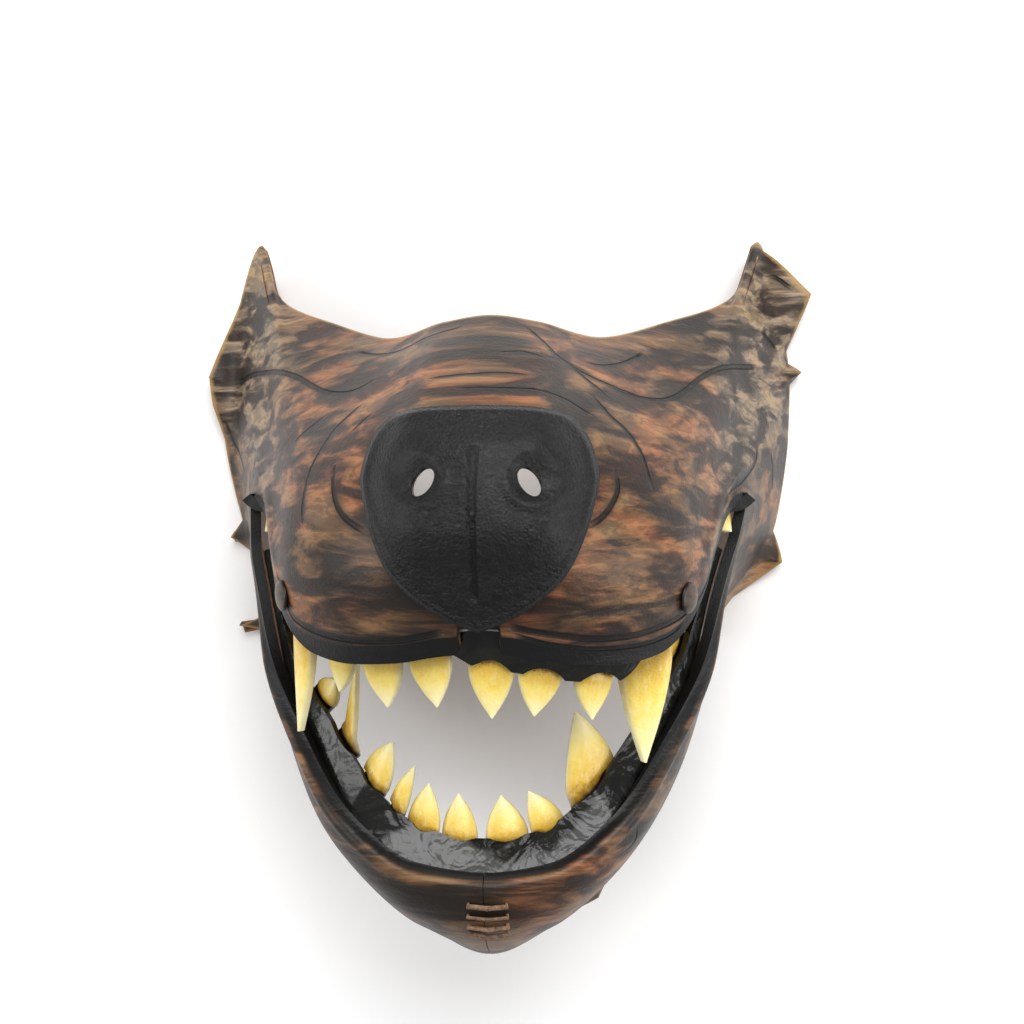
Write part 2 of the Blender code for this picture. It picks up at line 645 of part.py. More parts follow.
def nostril_cutter(name, grow):
    """Two tilted oval pins that stand through the nose and the shell behind it."""
    points, faces = [], []
    for side in (-1, 1):
        rings = []
        for height in (DEPTH / 2, DEPTH * 1.2):
            ring = []
            for step in range(NOSTRIL_SIDES):
                turn = 2 * math.pi * step / NOSTRIL_SIDES
                wide = (NOSTRIL_WIDTH / 2 + grow) * math.cos(turn)
                tall = (NOSTRIL_LENGTH / 2 + grow) * math.sin(turn)
                across = wide * math.cos(NOSTRIL_TILT) + tall * math.sin(NOSTRIL_TILT)
                up = tall * math.cos(NOSTRIL_TILT) - wide * math.sin(NOSTRIL_TILT)
                ring.append((side * (across - NOSTRIL_APART), NOSE_CENTRE_UP + NOSTRIL_UP + up, height))
            rings.append(ring)
        body_points, body_faces = rings_closed(rings)
        faces += [tuple(len(points) + corner for corner in face) for face in body_faces]
        points += list(body_points)
    return solid(name, points, faces, None)


def make_rivet(rivet, tree, material):
    """A flat rivet head whose underside follows the leather."""
    place = mouth_place("upper", rivet.at)
    middle, out, along = skin_frame("upper", place, rivet.above, RIVET_DIAMETER)
    across = np.cross(out, along)
    rings = []
    profile = ((0.1, 1), (0.5, 1), (0.88, 0.9), (1, 0.5), (1, 0), (0.55, 0), (0.1, 0))
    for wide, high in profile:
        ring = []
        for step in range(RIVET_SIDES):
            turn = 2 * math.pi * step / RIVET_SIDES
            over = middle + wide * RIVET_DIAMETER / 2 * (along * math.cos(turn) + across * math.sin(turn))
            hit, _, _, _ = tree.ray_cast(Vector(over + RIVET_DIAMETER * out), Vector(-out))
            ring.append(np.array(hit) + (RIVET_GAP + high * RIVET_HEIGHT) * out)
        rings.append(ring)
    return solid(rivet.name, *rings_closed(rings), material)


def lace_frame(side, row):
    """Where a stitch meets the chin beside the seam, with the outward normal and the way down."""
    at = LACE_REACH / (SECTIONS[1].lip[0] * WIDTH / 2)
    distance = LACE_FIRST + row * LACE_PITCH
    here, below = on_section(at, [distance, distance + LACE_PITCH])
    down = unit(below - here)
    out = unit(np.cross(down, unit(on_section(at + FRAME_STEP, [distance])[0] - here)))
    mirror = np.array((side, 1, 1))
    return here * mirror, out * mirror, down * mirror


def lace_path():
    """The thong's middle line: over the seam, through a slit, and behind to the next row."""
    above = FIT_GAP + LACE_THICKNESS / 2
    below = -(LEATHER + FIT_GAP + LACE_THICKNESS / 2)
    path = []
    for row in range(LACE_ROWS):
        for side in (-1, 1):
            here, out, down = lace_frame(side, row)
            levels = (below, above) if side == -1 else (above, below)
            path += [(here + out * level, down) for level in levels]
            if side == -1:
                crown = on_section(0, [LACE_FIRST + row * LACE_PITCH])[0]
                path.append((crown + out * (0, 1, 1) * (above + FIT_GAP), down))
    return path


def make_lace(material):
    path = lace_path()
    points = np.array([point for point, _ in path])
    steps = unit(np.diff(points, axis=0))
    rings = []
    for number, (point, down) in enumerate(path):
        before = steps[max(0, number - 1)]
        after = steps[min(len(steps) - 1, number)]
        ahead = unit(before + after)
        side = unit(np.cross(ahead, down))
        stretch = 1 / max(0.7, float(np.dot(ahead, after)))
        flat = unit(np.cross(side, ahead))
        rings.append([
            point + wide * LACE_WIDTH / 2 * flat + thick * stretch * LACE_THICKNESS / 2 * side
            for wide, thick in ((-1, -1), (1, -1), (1, 1), (-1, 1))
        ])
    return solid("chin_lace", *rings_closed(rings), material)


def lace_cutter():
    """A slit for each leg of the thong."""
    points, faces = [], []
    box = [(0, 1, 2, 3), (7, 6, 5, 4), (0, 4, 5, 1), (1, 5, 6, 2), (2, 6, 7, 3), (3, 7, 4, 0)]
    for row in range(LACE_ROWS):
        for side in (-1, 1):
            here, out, down = lace_frame(side, row)
            across = np.cross(out, down)
            wide = (LACE_THICKNESS / 2 + LACE_FIT) * across
            tall = (LACE_WIDTH / 2 + LACE_FIT) * down
            faces += [tuple(len(points) + corner for corner in face) for face in box]
            for level in (2 * LEATHER * out, -3 * LEATHER * out):
                points += [here + level - wide - tall, here + level + wide - tall,
                           here + level + wide + tall, here + level - wide + tall]
    return solid("lace_slits", points, faces, None)


def centre_over_floor(objects):
    """Moves every mesh so that the middle of the whole part's footprint is the origin."""
    corners = np.array([vertex.co for obj in objects if not obj.hide_render for vertex in obj.data.vertices])
    middle = (corners.min(0) + corners.max(0)) / 2
    for obj in objects:
        for vertex in obj.data.vertices:
            vertex.co -= Vector((middle[0], middle[1], 0))


def build():
    clear_scene()
    tooled = leather("tooled_leather", (0.36, 0.27, 0.18), 0.5)
    black = leather("black_pebbled_leather", (0.012, 0.012, 0.013), 0.4)
    gum = leather("black_glossy_leather", (0.014, 0.014, 0.010), 0.25)
    tooth_leather = leather("tooth_leather", (0.80, 0.70, 0.42), 0.45)
    outer, inner = shell_skins()
    shell = solid("mask_shell", *sheet_between(outer, inner), tooled)
    tree = skin_tree(shell_skins(notched=False)[0])
    nose = make_nose(tree, black)
    cut(nose, nostril_cutter("nostril_pins", 0))
    cut(shell, nostril_cutter("nostril_pins_behind", FIT_GAP))
    cut(shell, lace_cutter())
    for jaw in JAWS:
        make_gum(jaw, gum)
    for tooth in TEETH:
        make_tooth(tooth, tooth_leather)
    for rivet in RIVETS:
        make_rivet(rivet, tree, tooled)
    make_lace(tooled)
    centre_over_floor(list(bpy.data.objects))


def clear_scene():
    for obj in list(bpy.data.objects):
        bpy.data.objects.remove(obj)


build()
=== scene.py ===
"""The looks of the leather wolf mask: the painted and tooled shell, the pebbled nose, the gums, the
carved teeth, the chin lace and the rivets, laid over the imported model. Lengths are in metres."""

import collections
import functools
import math

import bmesh
import bpy
import numpy as np
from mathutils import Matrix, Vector
from mathutils.bvhtree import BVHTree


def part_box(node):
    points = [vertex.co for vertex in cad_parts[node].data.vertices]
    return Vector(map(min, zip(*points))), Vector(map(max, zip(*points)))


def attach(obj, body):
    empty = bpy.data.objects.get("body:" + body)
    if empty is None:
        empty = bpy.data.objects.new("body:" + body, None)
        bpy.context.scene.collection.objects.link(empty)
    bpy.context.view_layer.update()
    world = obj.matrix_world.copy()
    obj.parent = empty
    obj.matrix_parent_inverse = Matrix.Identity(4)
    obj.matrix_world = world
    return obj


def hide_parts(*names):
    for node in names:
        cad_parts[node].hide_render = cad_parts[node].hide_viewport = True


bl_info = {
    "name": "Leather wolf mask",
    "version": (1, 0, 0),
    "blender": (4, 5, 0),
    "location": "View3D > Sidebar > Wolf mask",
    "description": "Builds the visible pieces of a leather wolf mask over its packed model",
    "category": "Object",
}

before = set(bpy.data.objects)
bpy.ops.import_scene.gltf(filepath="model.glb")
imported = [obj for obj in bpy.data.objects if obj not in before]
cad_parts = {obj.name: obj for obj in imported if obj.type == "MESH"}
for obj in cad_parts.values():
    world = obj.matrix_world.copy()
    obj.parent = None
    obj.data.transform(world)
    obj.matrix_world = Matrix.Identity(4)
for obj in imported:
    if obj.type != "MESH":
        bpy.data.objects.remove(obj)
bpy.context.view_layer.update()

# Overall form of the shell, without tufts
WIDTH = 0.180
HEIGHT = 0.210
DEPTH = 0.145
LEATHER = 0.003
FIT_GAP = 0.0003
LAYER_GAP = 0.0005
TOOTH_GAP = 0.0009

# Mouth edge: the rolled jaw rim, the notch under the nose and the chin seam
ROLL_HEIGHT = 0.0014
ROLL_WIDTH = 0.0040
ROLL_ROUND = 0.55
NOTCH_HALF = 0.0052
NOTCH_DEPTH = 0.0070
NOTCH_FADE = 3
SEAM_GAP = 0.0002
JAW_SWAY = -0.0024
CHIN_SWAY = 0.45
SWAY_FADE = 1.5

# Fur tufts cut along the outer edge
TUFT_REACH = 0.0120
TUFT_BLEND = 0.0140
TUFT_LIFT = 1.6

# Nose pad and nostrils
NOSE_HALF_WIDTH = 0.0287
NOSE_HEIGHT = 0.0540
NOSE_WIDE = 0.0120
NOSE_ABOVE_LIP = 0.0065
NOSE_LEATHER = 0.0026
NOSE_SWELL = 0.0026
NOSE_SHOULDER = 2.2
NOSE_BACK_GAP = 0.0012
NOSE_BEAD = 0.0004
NOSE_BEAD_AT = 0.93
NOSE_BEAD_WIDE = 0.03
NOSE_EDGE_THIN = 0.25
NOSE_EDGE_FROM = 0.94
NOSTRIL_APART = 0.0130
NOSTRIL_UP = 0.0093
NOSTRIL_HOLLOW = 0.0056
NOSTRIL_WIDTH = 0.0044
NOSTRIL_LENGTH = 0.0078
NOSTRIL_TILT = math.radians(36)
NOSTRIL_RIM = 0.0009
NOSTRIL_RIM_OUT = 1.05
NOSTRIL_RIM_WIDE = 0.28

# Gum strips
GUM_LEATHER = 0.0020
GUM_TUCK = 0.0042
GUM_EASE = 0.0008
UPPER_GUM_SHOW = 0.0038
UPPER_SCALLOP = 0.0030
LOWER_GUM_SHOW = 0.0105
LOWER_SCALLOP = 0.0012
UPPER_LEAN = math.radians(8)
LOWER_LEAN = math.radians(28)
LOWER_NARROWS = 0.8
LOWER_NARROWING = 1.2

# Teeth
TOOTH_THICKNESS = 0.0036
TOOTH_RIDGE = 0.0010
TOOTH_ROOT = 0.0030
TIP_THINS = 0.45
INCISOR_WIDTH = 0.0126
INCISOR_LENGTH = 0.0140
CANINE_WIDTH = 0.0150
CANINE_LENGTH = 0.0260
PREMOLAR_WIDTH = 0.0120
PREMOLAR_LENGTH = 0.0095

# Chin lace
LACE_ROWS = 4
LACE_FIRST = 0.0095
LACE_PITCH = 0.0036
LACE_REACH = 0.0050
LACE_WIDTH = 0.0020
LACE_THICKNESS = 0.0011

# Rivets
RIVET_DIAMETER = 0.0084
RIVET_HEIGHT = 0.0012
RIVET_LIFT = 0.0008
RIVET_SEGMENTS = 40
RIVET_RINGS = 20

# How finely the pieces are divided
SHARP_ANGLE = math.radians(40)
FRAME_STEP = 0.2
LEAN_BEND = 0.0040
LEAN_BASE = 0.0120
BASE_STEP = 0.02
NOTCH_STEP = 0.04
STEPS_A_SECTION = 14
EDGE_ROWS = 18
ROWS_BEYOND = 56
NOSE_POINTS = 160
NOSE_RINGS = 46
NOSTRIL_SIDES = 40
GUM_STEPS = 260
GUM_ROWS = 14
TOOTH_STEPS = 26
TOOTH_SIDES = 20
LINE_STEPS = 161
FINE_STEPS = 49

# The photograph's camera: its turn about the upright axis, its distance, and its focal length in
# pixels of a frame 1024 wide
FRAME_SIZE = 1024
FOCAL_PIXELS = 1856
SENSOR = 36
CAMERA_YAW = math.radians(3.15)
CAMERA_TARGET = np.array((0.00113, 0.0196, 0))
CAMERA_DISTANCE = 0.6

Section = collections.namedtuple("Section", "name lip front swell waist rim")
# One row for each line drawn over the leather from the mouth edge to the outer edge. Each point is
# (out, up, fore): shares of half the width, of the height from the chin and of the depth.
SECTIONS = (
    Section("chin", (0, 0.133, 0.71), (0, 0.110, 0.73), (0, 0.067, 0.703), (0, 0.029, 0.634),
            (0, 0, 0.531)),
    Section("chin_side", (0.20, 0.145, 0.703), (0.206, 0.121, 0.72), (0.211, 0.083, 0.686),
            (0.206, 0.052, 0.614), (0.189, 0.031, 0.503)),
    Section("jaw_bend", (0.40, 0.205, 0.669), (0.428, 0.186, 0.676), (0.467, 0.162, 0.62),
            (0.461, 0.140, 0.531), (0.422, 0.124, 0.428)),
    Section("arm_low", (0.556, 0.295, 0.579), (0.583, 0.281, 0.572), (0.617, 0.267, 0.503),
            (0.628, 0.257, 0.42), (0.622, 0.248, 0.317)),
    Section("arm_middle", (0.685, 0.395, 0.50), (0.705, 0.388, 0.476), (0.717, 0.381, 0.393),
            (0.718, 0.374, 0.29), (0.722, 0.367, 0.166)),
    Section("arm_high", (0.742, 0.486, 0.47), (0.756, 0.479, 0.414), (0.758, 0.467, 0.303),
            (0.755, 0.448, 0.166), (0.761, 0.424, 0)),
    Section("below_corner", (0.784, 0.557, 0.441), (0.805, 0.555, 0.386), (0.832, 0.548, 0.276),
            (0.872, 0.538, 0.145), (0.922, 0.529, 0)),
    Section("corner", (0.80, 0.619, 0.441), (0.822, 0.614, 0.372), (0.861, 0.61, 0.269),
            (0.911, 0.605, 0.138), (0.961, 0.60, 0)),
    Section("above_corner", (0.733, 0.59, 0.503), (0.767, 0.638, 0.455), (0.833, 0.662, 0.317),
            (0.922, 0.686, 0.152), (0.994, 0.705, 0)),
    Section("cheek", (0.689, 0.548, 0.593), (0.722, 0.61, 0.545), (0.783, 0.671, 0.386),
            (0.90, 0.738, 0.172), (1.0, 0.79, 0)),
    Section("wing", (0.644, 0.49, 0.683), (0.683, 0.571, 0.641), (0.728, 0.667, 0.469),
            (0.844, 0.79, 0.207), (0.961, 0.89, 0.02)),
    Section("wing_tip", (0.583, 0.445, 0.752), (0.633, 0.533, 0.717), (0.667, 0.657, 0.579),
            (0.767, 0.829, 0.283), (0.878, 1, 0.062)),
    Section("wing_inside", (0.50, 0.417, 0.80), (0.578, 0.524, 0.793), (0.60, 0.648, 0.683),
            (0.667, 0.79, 0.414), (0.778, 0.91, 0.159)),
    Section("eye_side", (0.378, 0.407, 0.855), (0.456, 0.524, 0.883), (0.478, 0.648, 0.80),
            (0.50, 0.771, 0.552), (0.556, 0.862, 0.338)),
    Section("eye_low", (0.244, 0.41, 0.897), (0.289, 0.533, 0.952), (0.30, 0.657, 0.91),
            (0.311, 0.762, 0.717), (0.317, 0.829, 0.51)),
    Section("bridge_side", (0.122, 0.419, 0.921), (0.133, 0.567, 0.997), (0.139, 0.686, 0.969),
            (0.139, 0.776, 0.81), (0.144, 0.843, 0.614)),
    Section("bridge", (0, 0.424, 0.928), (0, 0.571, 1.007), (0, 0.69, 0.979), (0, 0.779, 0.824),
            (0, 0.85, 0.641)),
)
CORNER = [section.name for section in SECTIONS].index("corner")
MIDDLE = len(SECTIONS) - 1

Tuft = collections.namedtuple("Tuft", "side at spread reach heading")
# side 1 is right and -1 left, at and spread count sections, reach is a share of TUFT_REACH, and
# heading is the way that the tuft points, in degrees from straight out towards straight up.
TUFTS = (
    Tuft(1, 10.12, 0.62, 0.90, 20),
    Tuft(1, 9.15, 0.16, 0.30, 5),
    Tuft(1, 5.95, 0.55, 0.50, -15),
    Tuft(1, 1.60, 0.30, 0.20, -45),
    Tuft(-1, 8.60, 2.60, 0.30, 0),
    Tuft(-1, 9.10, 1.10, 0.28, 5),
    Tuft(-1, 6.40, 0.35, 0.35, -10),
    Tuft(-1, 4.98, 0.30, 1.40, -3),
)

Tooth = collections.namedtuple("Tooth", "name jaw at kind width length bend turn")
# at is a signed share of the mouth line from its middle to the corner, width and length are shares of
# the kind's own, bend moves the tip sideways as a share of the width, and turn twists the crown about
# its own length, in degrees.
TEETH = (
    Tooth("upper_incisor_left_1", "upper", -0.131, "incisor", 0.97, 1.20, 0.05, 0),
    Tooth("upper_incisor_left_2", "upper", -0.262, "incisor", 1.02, 1.10, 0.10, 0),
    Tooth("upper_incisor_left_3", "upper", -0.388, "incisor", 0.84, 0.92, 0.0, 0),
    Tooth("upper_canine_left", "upper", -0.520, "canine", 0.84, 1.20, -0.05, 0),
    Tooth("upper_premolar_left", "upper", -0.92, "premolar", 0.90, 0.80, 0.0, 0),
    Tooth("upper_incisor_right_1", "upper", 0.024, "incisor", 0.97, 1.25, 0.05, 0),
    Tooth("upper_incisor_right_2", "upper", 0.154, "incisor", 0.97, 1.05, -0.05, 0),
    Tooth("upper_incisor_right_3", "upper", 0.288, "incisor", 0.92, 1.02, 0.0, 0),
    Tooth("upper_canine_right", "upper", 0.432, "canine", 0.98, 1.25, -0.10, 30),
    Tooth("upper_premolar_right", "upper", 0.92, "premolar", 0.90, 0.80, 0.0, 0),
    Tooth("lower_incisor_left_1", "lower", -0.060, "incisor", 0.80, 0.98, -0.12, 0),
    Tooth("lower_incisor_left_2", "lower", -0.148, "incisor", 0.76, 0.98, -0.05, 0),
    Tooth("lower_incisor_left_3", "lower", -0.230, "incisor", 0.44, 1.0, 0.30, 0),
    Tooth("lower_incisor_left_4", "lower", -0.315, "incisor", 0.80, 0.98, 0.20, 0),
    Tooth("lower_canine_left", "lower", -0.430, "canine", 0.74, 0.92, 0.0, -25),
    Tooth("lower_premolar_left_1", "lower", -0.540, "premolar", 0.80, 0.80, 0.0, 0),
    Tooth("lower_premolar_left_2", "lower", -0.665, "premolar", 1.0, 1.0, 0.0, 0),
    Tooth("lower_premolar_left_3", "lower", -0.790, "premolar", 0.95, 0.90, 0.0, 0),
    Tooth("lower_incisor_right_1", "lower", 0.050, "incisor", 0.95, 0.98, -0.10, 0),
    Tooth("lower_incisor_right_2", "lower", 0.158, "incisor", 0.78, 0.92, -0.35, 0),
    Tooth("lower_canine_right", "lower", 0.306, "canine", 1.12, 0.88, -0.15, -4),
    Tooth("lower_premolar_right_1", "lower", 0.545, "premolar", 0.95, 1.0, 0.0, 0),
    Tooth("lower_premolar_right_2", "lower", 0.660, "premolar", 1.0, 1.0, 0.0, 0),
    Tooth("lower_premolar_right_3", "lower", 0.785, "premolar", 1.0, 0.95, 0.0, 0),
)
TOOTH_FULLNESS = {"incisor": 2.1, "canine": 1.5, "premolar": 1.7}
UPRIGHT = {"incisor": 1.5, "canine": 5, "premolar": 0}
SQUARE = {"incisor": 0.5, "canine": 0.5, "premolar": 0}
TOOTH_BASE = 0.90
TOOTH_TIP = 0.05
TOOTH_NECK = 0.18
KIND_SIZES = {
    "incisor": (INCISOR_WIDTH, INCISOR_LENGTH),
    "canine": (CANINE_WIDTH, CANINE_LENGTH),
    "premolar": (PREMOLAR_WIDTH, PREMOLAR_LENGTH),
}
# Half a nose outline, as (across, up): shares of its half width and of its height from the middle
NOSE_OUTLINE = (
    (0, 0.50), (0.42, 0.495), (0.68, 0.475), (0.86, 0.40), (0.96, 0.29), (1, 0.18), (0.96, 0.06),
    (0.89, -0.07), (0.75, -0.23), (0.51, -0.36), (0.24, -0.45), (0, -0.50),
)
UPPER_GUM_SHOWN = {-1: 0, 1: 0.33}
Rivet = collections.namedtuple("Rivet", "name at above")
RIVETS = (Rivet("rivet_left", -0.48, 0.0110), Rivet("rivet_right", 0.45, 0.0130))

Jaw = collections.namedtuple("Jaw", "middle way show scallop lean gum_end")
JAWS = {
    "upper": Jaw(MIDDLE, -1, UPPER_GUM_SHOW, UPPER_SCALLOP, UPPER_LEAN, 0.455),
    "lower": Jaw(0, 1, LOWER_GUM_SHOW, LOWER_SCALLOP, LOWER_LEAN, 0.88),
}

Groove = collections.namedtuple("Groove", "name group width points")
# Tooled lines, each through points of the photograph's frame. The width is a share of the usual one,
# and lines of one group don't come near each other.
GROOVES = (
    Groove("left_cheek_curl", 0, 1.3, ((238, 383), (256, 374), (275, 372), (297, 377), (314, 387),
                                       (330, 393), (347, 393), (361, 388), (375, 380))),
    Groove("right_cheek_curl", 0, 1.3, ((600, 382), (624, 393), (653, 400), (670, 399), (685, 391),
                                        (702, 377), (726, 367), (756, 367))),
    Groove("left_brow", 0, 1.0, ((358, 352), (375, 355), (397, 352), (418, 342), (440, 333), (466, 326))),
    Groove("right_brow", 1, 1.0, ((586, 363), (604, 366), (627, 362), (643, 353))),
    Groove("bridge_low_wrinkle", 1, 0.8, ((455, 389), (490, 388), (527, 389), (570, 402), (595, 417))),
    Groove("bridge_high_wrinkle", 2, 0.8, ((426, 380), (450, 376), (474, 374), (505, 373), (533, 376))),
    Groove("bridge_top_wrinkle", 3, 0.8, ((499, 353), (524, 352), (547, 360))),
    Groove("long_bridge_wrinkle", 2, 0.9, ((527, 328), (558, 356), (585, 378), (610, 400))),
    Groove("short_bridge_wrinkle", 3, 0.9, ((543, 347), (566, 362), (589, 376), (616, 388), (640, 397))),
    Groove("left_nose_arc", 1, 1.1, ((365, 402), (340, 424), (321, 450), (308, 478), (303, 503),
                                     (304, 524))),
    Groove("right_nose_arc", 0, 1.1, ((591, 395), (612, 418), (624, 428), (641, 453), (648, 474),
                                      (653, 491))),
    Groove("left_fine_line", 2, 0.7, ((294, 443), (310, 428), (327, 415))),
    Groove("left_bridge_fine_line", 3, 0.7, ((346, 437), (360, 424), (375, 411))),
    Groove("left_nostril_arc", 2, 1.2, ((335, 466), (333, 480), (336, 503), (345, 518), (366, 533))),
    Groove("right_nostril_arc", 2, 1.2, ((615, 468), (618, 488), (612, 504), (600, 519), (586, 527))),
    Groove("left_wing_line", 0, 1.1, ((231, 307), (232, 322), (236, 331), (242, 338))),
    Groove("left_wing_edge_line", 2, 1.2, ((208, 404), (223, 419), (233, 439), (245, 471))),
    Groove("right_wing_upper_line", 2, 1.1, ((765, 278), (774, 277), (794, 290), (806, 310))),
    Groove("right_wing_short_line", 3, 1.0, ((761, 331), (769, 341), (778, 353))),
    Groove("right_wing_low_line", 3, 1.1, ((757, 448), (755, 462), (742, 480), (728, 496))),
    Groove("right_wing_edge_line", 1, 1.0, ((770, 450), (772, 470), (772, 491))),
    Groove("left_lip_line", 3, 1.5, ((447, 631), (420, 637), (391, 641), (363, 641), (334, 637),
                                     (307, 627), (290, 612), (284, 591), (276, 572))),
    Groove("right_lip_line", 3, 1.5, ((504, 625), (528, 631), (554, 635), (598, 639), (630, 636),
                                      (669, 623), (695, 602), (709, 580), (714, 557))),
    Groove("right_lip_second_line", 2, 1.0, ((511, 634), (554, 645), (598, 649), (634, 646), (664, 637),
                                             (684, 622))),
    Groove("right_jaw_mark", 0, 1.2, ((636, 827), (634, 842), (624, 850))),
)
GROOVE_GROUPS = 4
GROOVE_REACH = 0.0040
GROOVE_TAPER = 0.0045


def smooth_through(values, at):
    """Points at the given places on a smooth curve that runs through the rows of values, one step
    apart, without swinging past them."""
    values = np.asarray(values, float)
    at = np.clip(np.asarray(at, float), 0, len(values) - 1)
    steps = np.diff(values, axis=0)
    product = steps[:-1] * steps[1:]
    total = steps[:-1] + steps[1:]
    inner = np.where(product > 0, 2 * product / np.where(total == 0, 1, total), 0)
    slopes = np.concatenate([steps[:1], inner, steps[-1:]])
    low = np.minimum(at.astype(int), len(values) - 2)
    part = (at - low).reshape((-1,) + (1,) * (values.ndim - 1))
    rise = 3 * part**2 - 2 * part**3
    leave = part**3 - 2 * part**2 + part
    arrive = part**3 - part**2
    curve = values[low] + (values[low + 1] - values[low]) * rise
    return curve + slopes[low] * leave + slopes[low + 1] * arrive


def smooth_step(value):
    value = np.clip(value, 0, 1)
    return 3 * value**2 - 2 * value**3


def unit(vectors):
    return vectors / np.linalg.norm(vectors, axis=-1, keepdims=True)


def controls():
    """The sections' points in metres, with a mirrored section before the chin and after the bridge."""
    points = np.array([section[1:] for section in SECTIONS]) * (WIDTH / 2, HEIGHT, DEPTH)
    mirror = np.array((-1, 1, 1))
    return np.concatenate([points[1:2] * mirror, points, points[-2:-1] * mirror])


CONTROLS = controls()
NOSE_CENTRE_UP = SECTIONS[MIDDLE].lip[1] * HEIGHT + NOSE_ABOVE_LIP + NOSE_HEIGHT / 2
NOTCH_AT = MIDDLE - NOTCH_HALF / CONTROLS[-3][0][0]
FINE = np.linspace(0, CONTROLS.shape[1] - 1, FINE_STEPS)


def into_frame():
    """How far the drawing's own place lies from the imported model's: the nose is centred across the
    drawing, and the shell's lowest point is the chin at height nothing."""
    nose_low, nose_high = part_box("nose")
    shell_low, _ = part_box("mask_shell")
    return np.array(((nose_low[0] + nose_high[0]) / 2, shell_low[1], 0))


INTO_FRAME = into_frame()


@functools.cache
def section_curve(at):
    """A finely divided line over the right half at section number at, and the distance along it."""
    points = smooth_through(smooth_through(CONTROLS, [at + 1])[0], FINE)
    steps = np.linalg.norm(np.diff(points, axis=0), axis=1)
    return points, np.concatenate([[0], np.cumsum(steps)])


def on_section(at, distances):
    """Points of the right half's skin at distances from the mouth edge."""
    points, length = section_curve(float(at))
    return np.stack([np.interp(distances, length, points[:, axis]) for axis in range(3)], axis=1)


def sway(at):
    """How far the jaw sits to one side, as made: most along its arms, and nothing past the corner."""
    bow = CHIN_SWAY + (1 - CHIN_SWAY) * math.sin(math.pi * min(at, CORNER) / CORNER)
    return np.array((JAW_SWAY * bow * smooth_step((CORNER - at) / SWAY_FADE), 0, 0))


def tuft_push(side, at, distances, length):
    """How far each point of a section is moved by the tufts cut in the edge beside it."""
    push = np.zeros((len(distances), 3))
    near_rim = np.clip(1 - (length - distances) / TUFT_BLEND, 0, 1) ** 2
    for tuft in TUFTS:
        if tuft.side != side or abs(at - tuft.at) >= tuft.spread:
            continue
        weight = 1 - abs(at - tuft.at) / tuft.spread
        heading = math.radians(tuft.heading)
        reach = TUFT_REACH * tuft.reach
        way = np.array((math.cos(heading) * reach, math.sin(heading) * reach, TUFT_LIFT * LEATHER))
        push += near_rim[:, None] * weight * way
    return push


def section_places(side):
    places = {step / STEPS_A_SECTION for step in range(MIDDLE * STEPS_A_SECTION + 1)}
    places |= {NOTCH_AT + NOTCH_STEP * step / 2 for step in (-2, -1, 0, 1, 2)}
    for tuft in TUFTS:
        if tuft.side == side:
            places |= {tuft.at, tuft.at - tuft.spread, tuft.at + tuft.spread}
    kept = []
    for place in sorted(places):
        if not kept or place - kept[-1] > NOTCH_STEP / 4:
            kept.append(place)
    return kept


def half_grid(side, notched):
    """One half of the outer skin, from the chin to the bridge, with each point's distance from the
    mouth edge and from the outer edge."""
    half, inward, outward = [], [], []
    for at in section_places(side):
        length = section_curve(at)[1][-1]
        edge_rows = np.linspace(0, 2 * ROLL_WIDTH, EDGE_ROWS, endpoint=False)
        walked = np.concatenate([edge_rows, np.linspace(2 * ROLL_WIDTH, length, ROWS_BEYOND)])
        distances = walked
        if notched:
            notch = NOTCH_DEPTH * smooth_step((at - NOTCH_AT) / NOTCH_STEP / 2 + 0.5)
            distances = walked + notch * np.clip(1 - walked / (NOTCH_FADE * NOTCH_DEPTH), 0, 1)
        points = on_section(at, distances) + tuft_push(side, at, distances, length)
        points[:, 0] += SEAM_GAP / 2 * max(0, 1 - at)
        half.append(points * np.array((side, 1, 1)) + sway(at))
        inward.append(walked)
        outward.append(length - distances)
    return half, inward, outward


def shell_grid(notched=True):
    """The outer skin from the chin round by the bridge to the chin again along the first axis, rows
    from the mouth edge to the outer edge along the second."""
    right, left = (half_grid(side, notched) for side in (1, -1))
    places = np.array(section_places(1) + section_places(-1)[-2::-1])
    grid, inward, outward = (np.array(here + there[-2::-1]) for here, there in zip(right, left))
    return grid, places, inward, outward


def grid_normals(grid):
    return unit(np.cross(np.gradient(grid, axis=1), np.gradient(grid, axis=0)))


def sheet_between(front, back):
    """Points and faces of a closed sheet between two grids, and which side each face is on: 0 front,
    1 back and 2 the cut edge."""
    columns, rows = front.shape[:2]
    half = columns * rows
    faces, kinds = [], []
    for column in range(columns - 1):
        for row in range(rows - 1):
            start = column * rows + row
            quad = (start, start + rows, start + rows + 1, start + 1)
            faces += [quad, tuple(half + corner for corner in reversed(quad))]
            kinds += [0, 1]
    around = [column * rows for column in range(columns)]
    around += [(columns - 1) * rows + row for row in range(1, rows)]
    around += [column * rows + rows - 1 for column in range(columns - 2, -1, -1)]
    around += list(range(rows - 2, 0, -1))
    for here, there in zip(around, around[1:] + around[:1]):
        faces.append((here, half + here, half + there, there))
        kinds.append(2)
    return np.concatenate([front.reshape(-1, 3), back.reshape(-1, 3)]), faces, kinds


def rings_closed(rings):
    """Points and faces of a closed body made of rings of points, with a fan over each end."""
    rings = np.asarray(rings)
    count, around = rings.shape[:2]
    points = np.concatenate([rings.reshape(-1, 3), rings[0].mean(0)[None], rings[-1].mean(0)[None]])
    first, last = count * around, count * around + 1
    faces = []
    for here in range(around):
        there = (here + 1) % around
        faces.append((first, there, here))
        faces.append((last, (count - 1) * around + here, (count - 1) * around + there))
        for ring in range(count - 1):
            low, high = ring * around, (ring + 1) * around
            faces.append((low + here, low + there, high + there, high + here))
    return points, faces


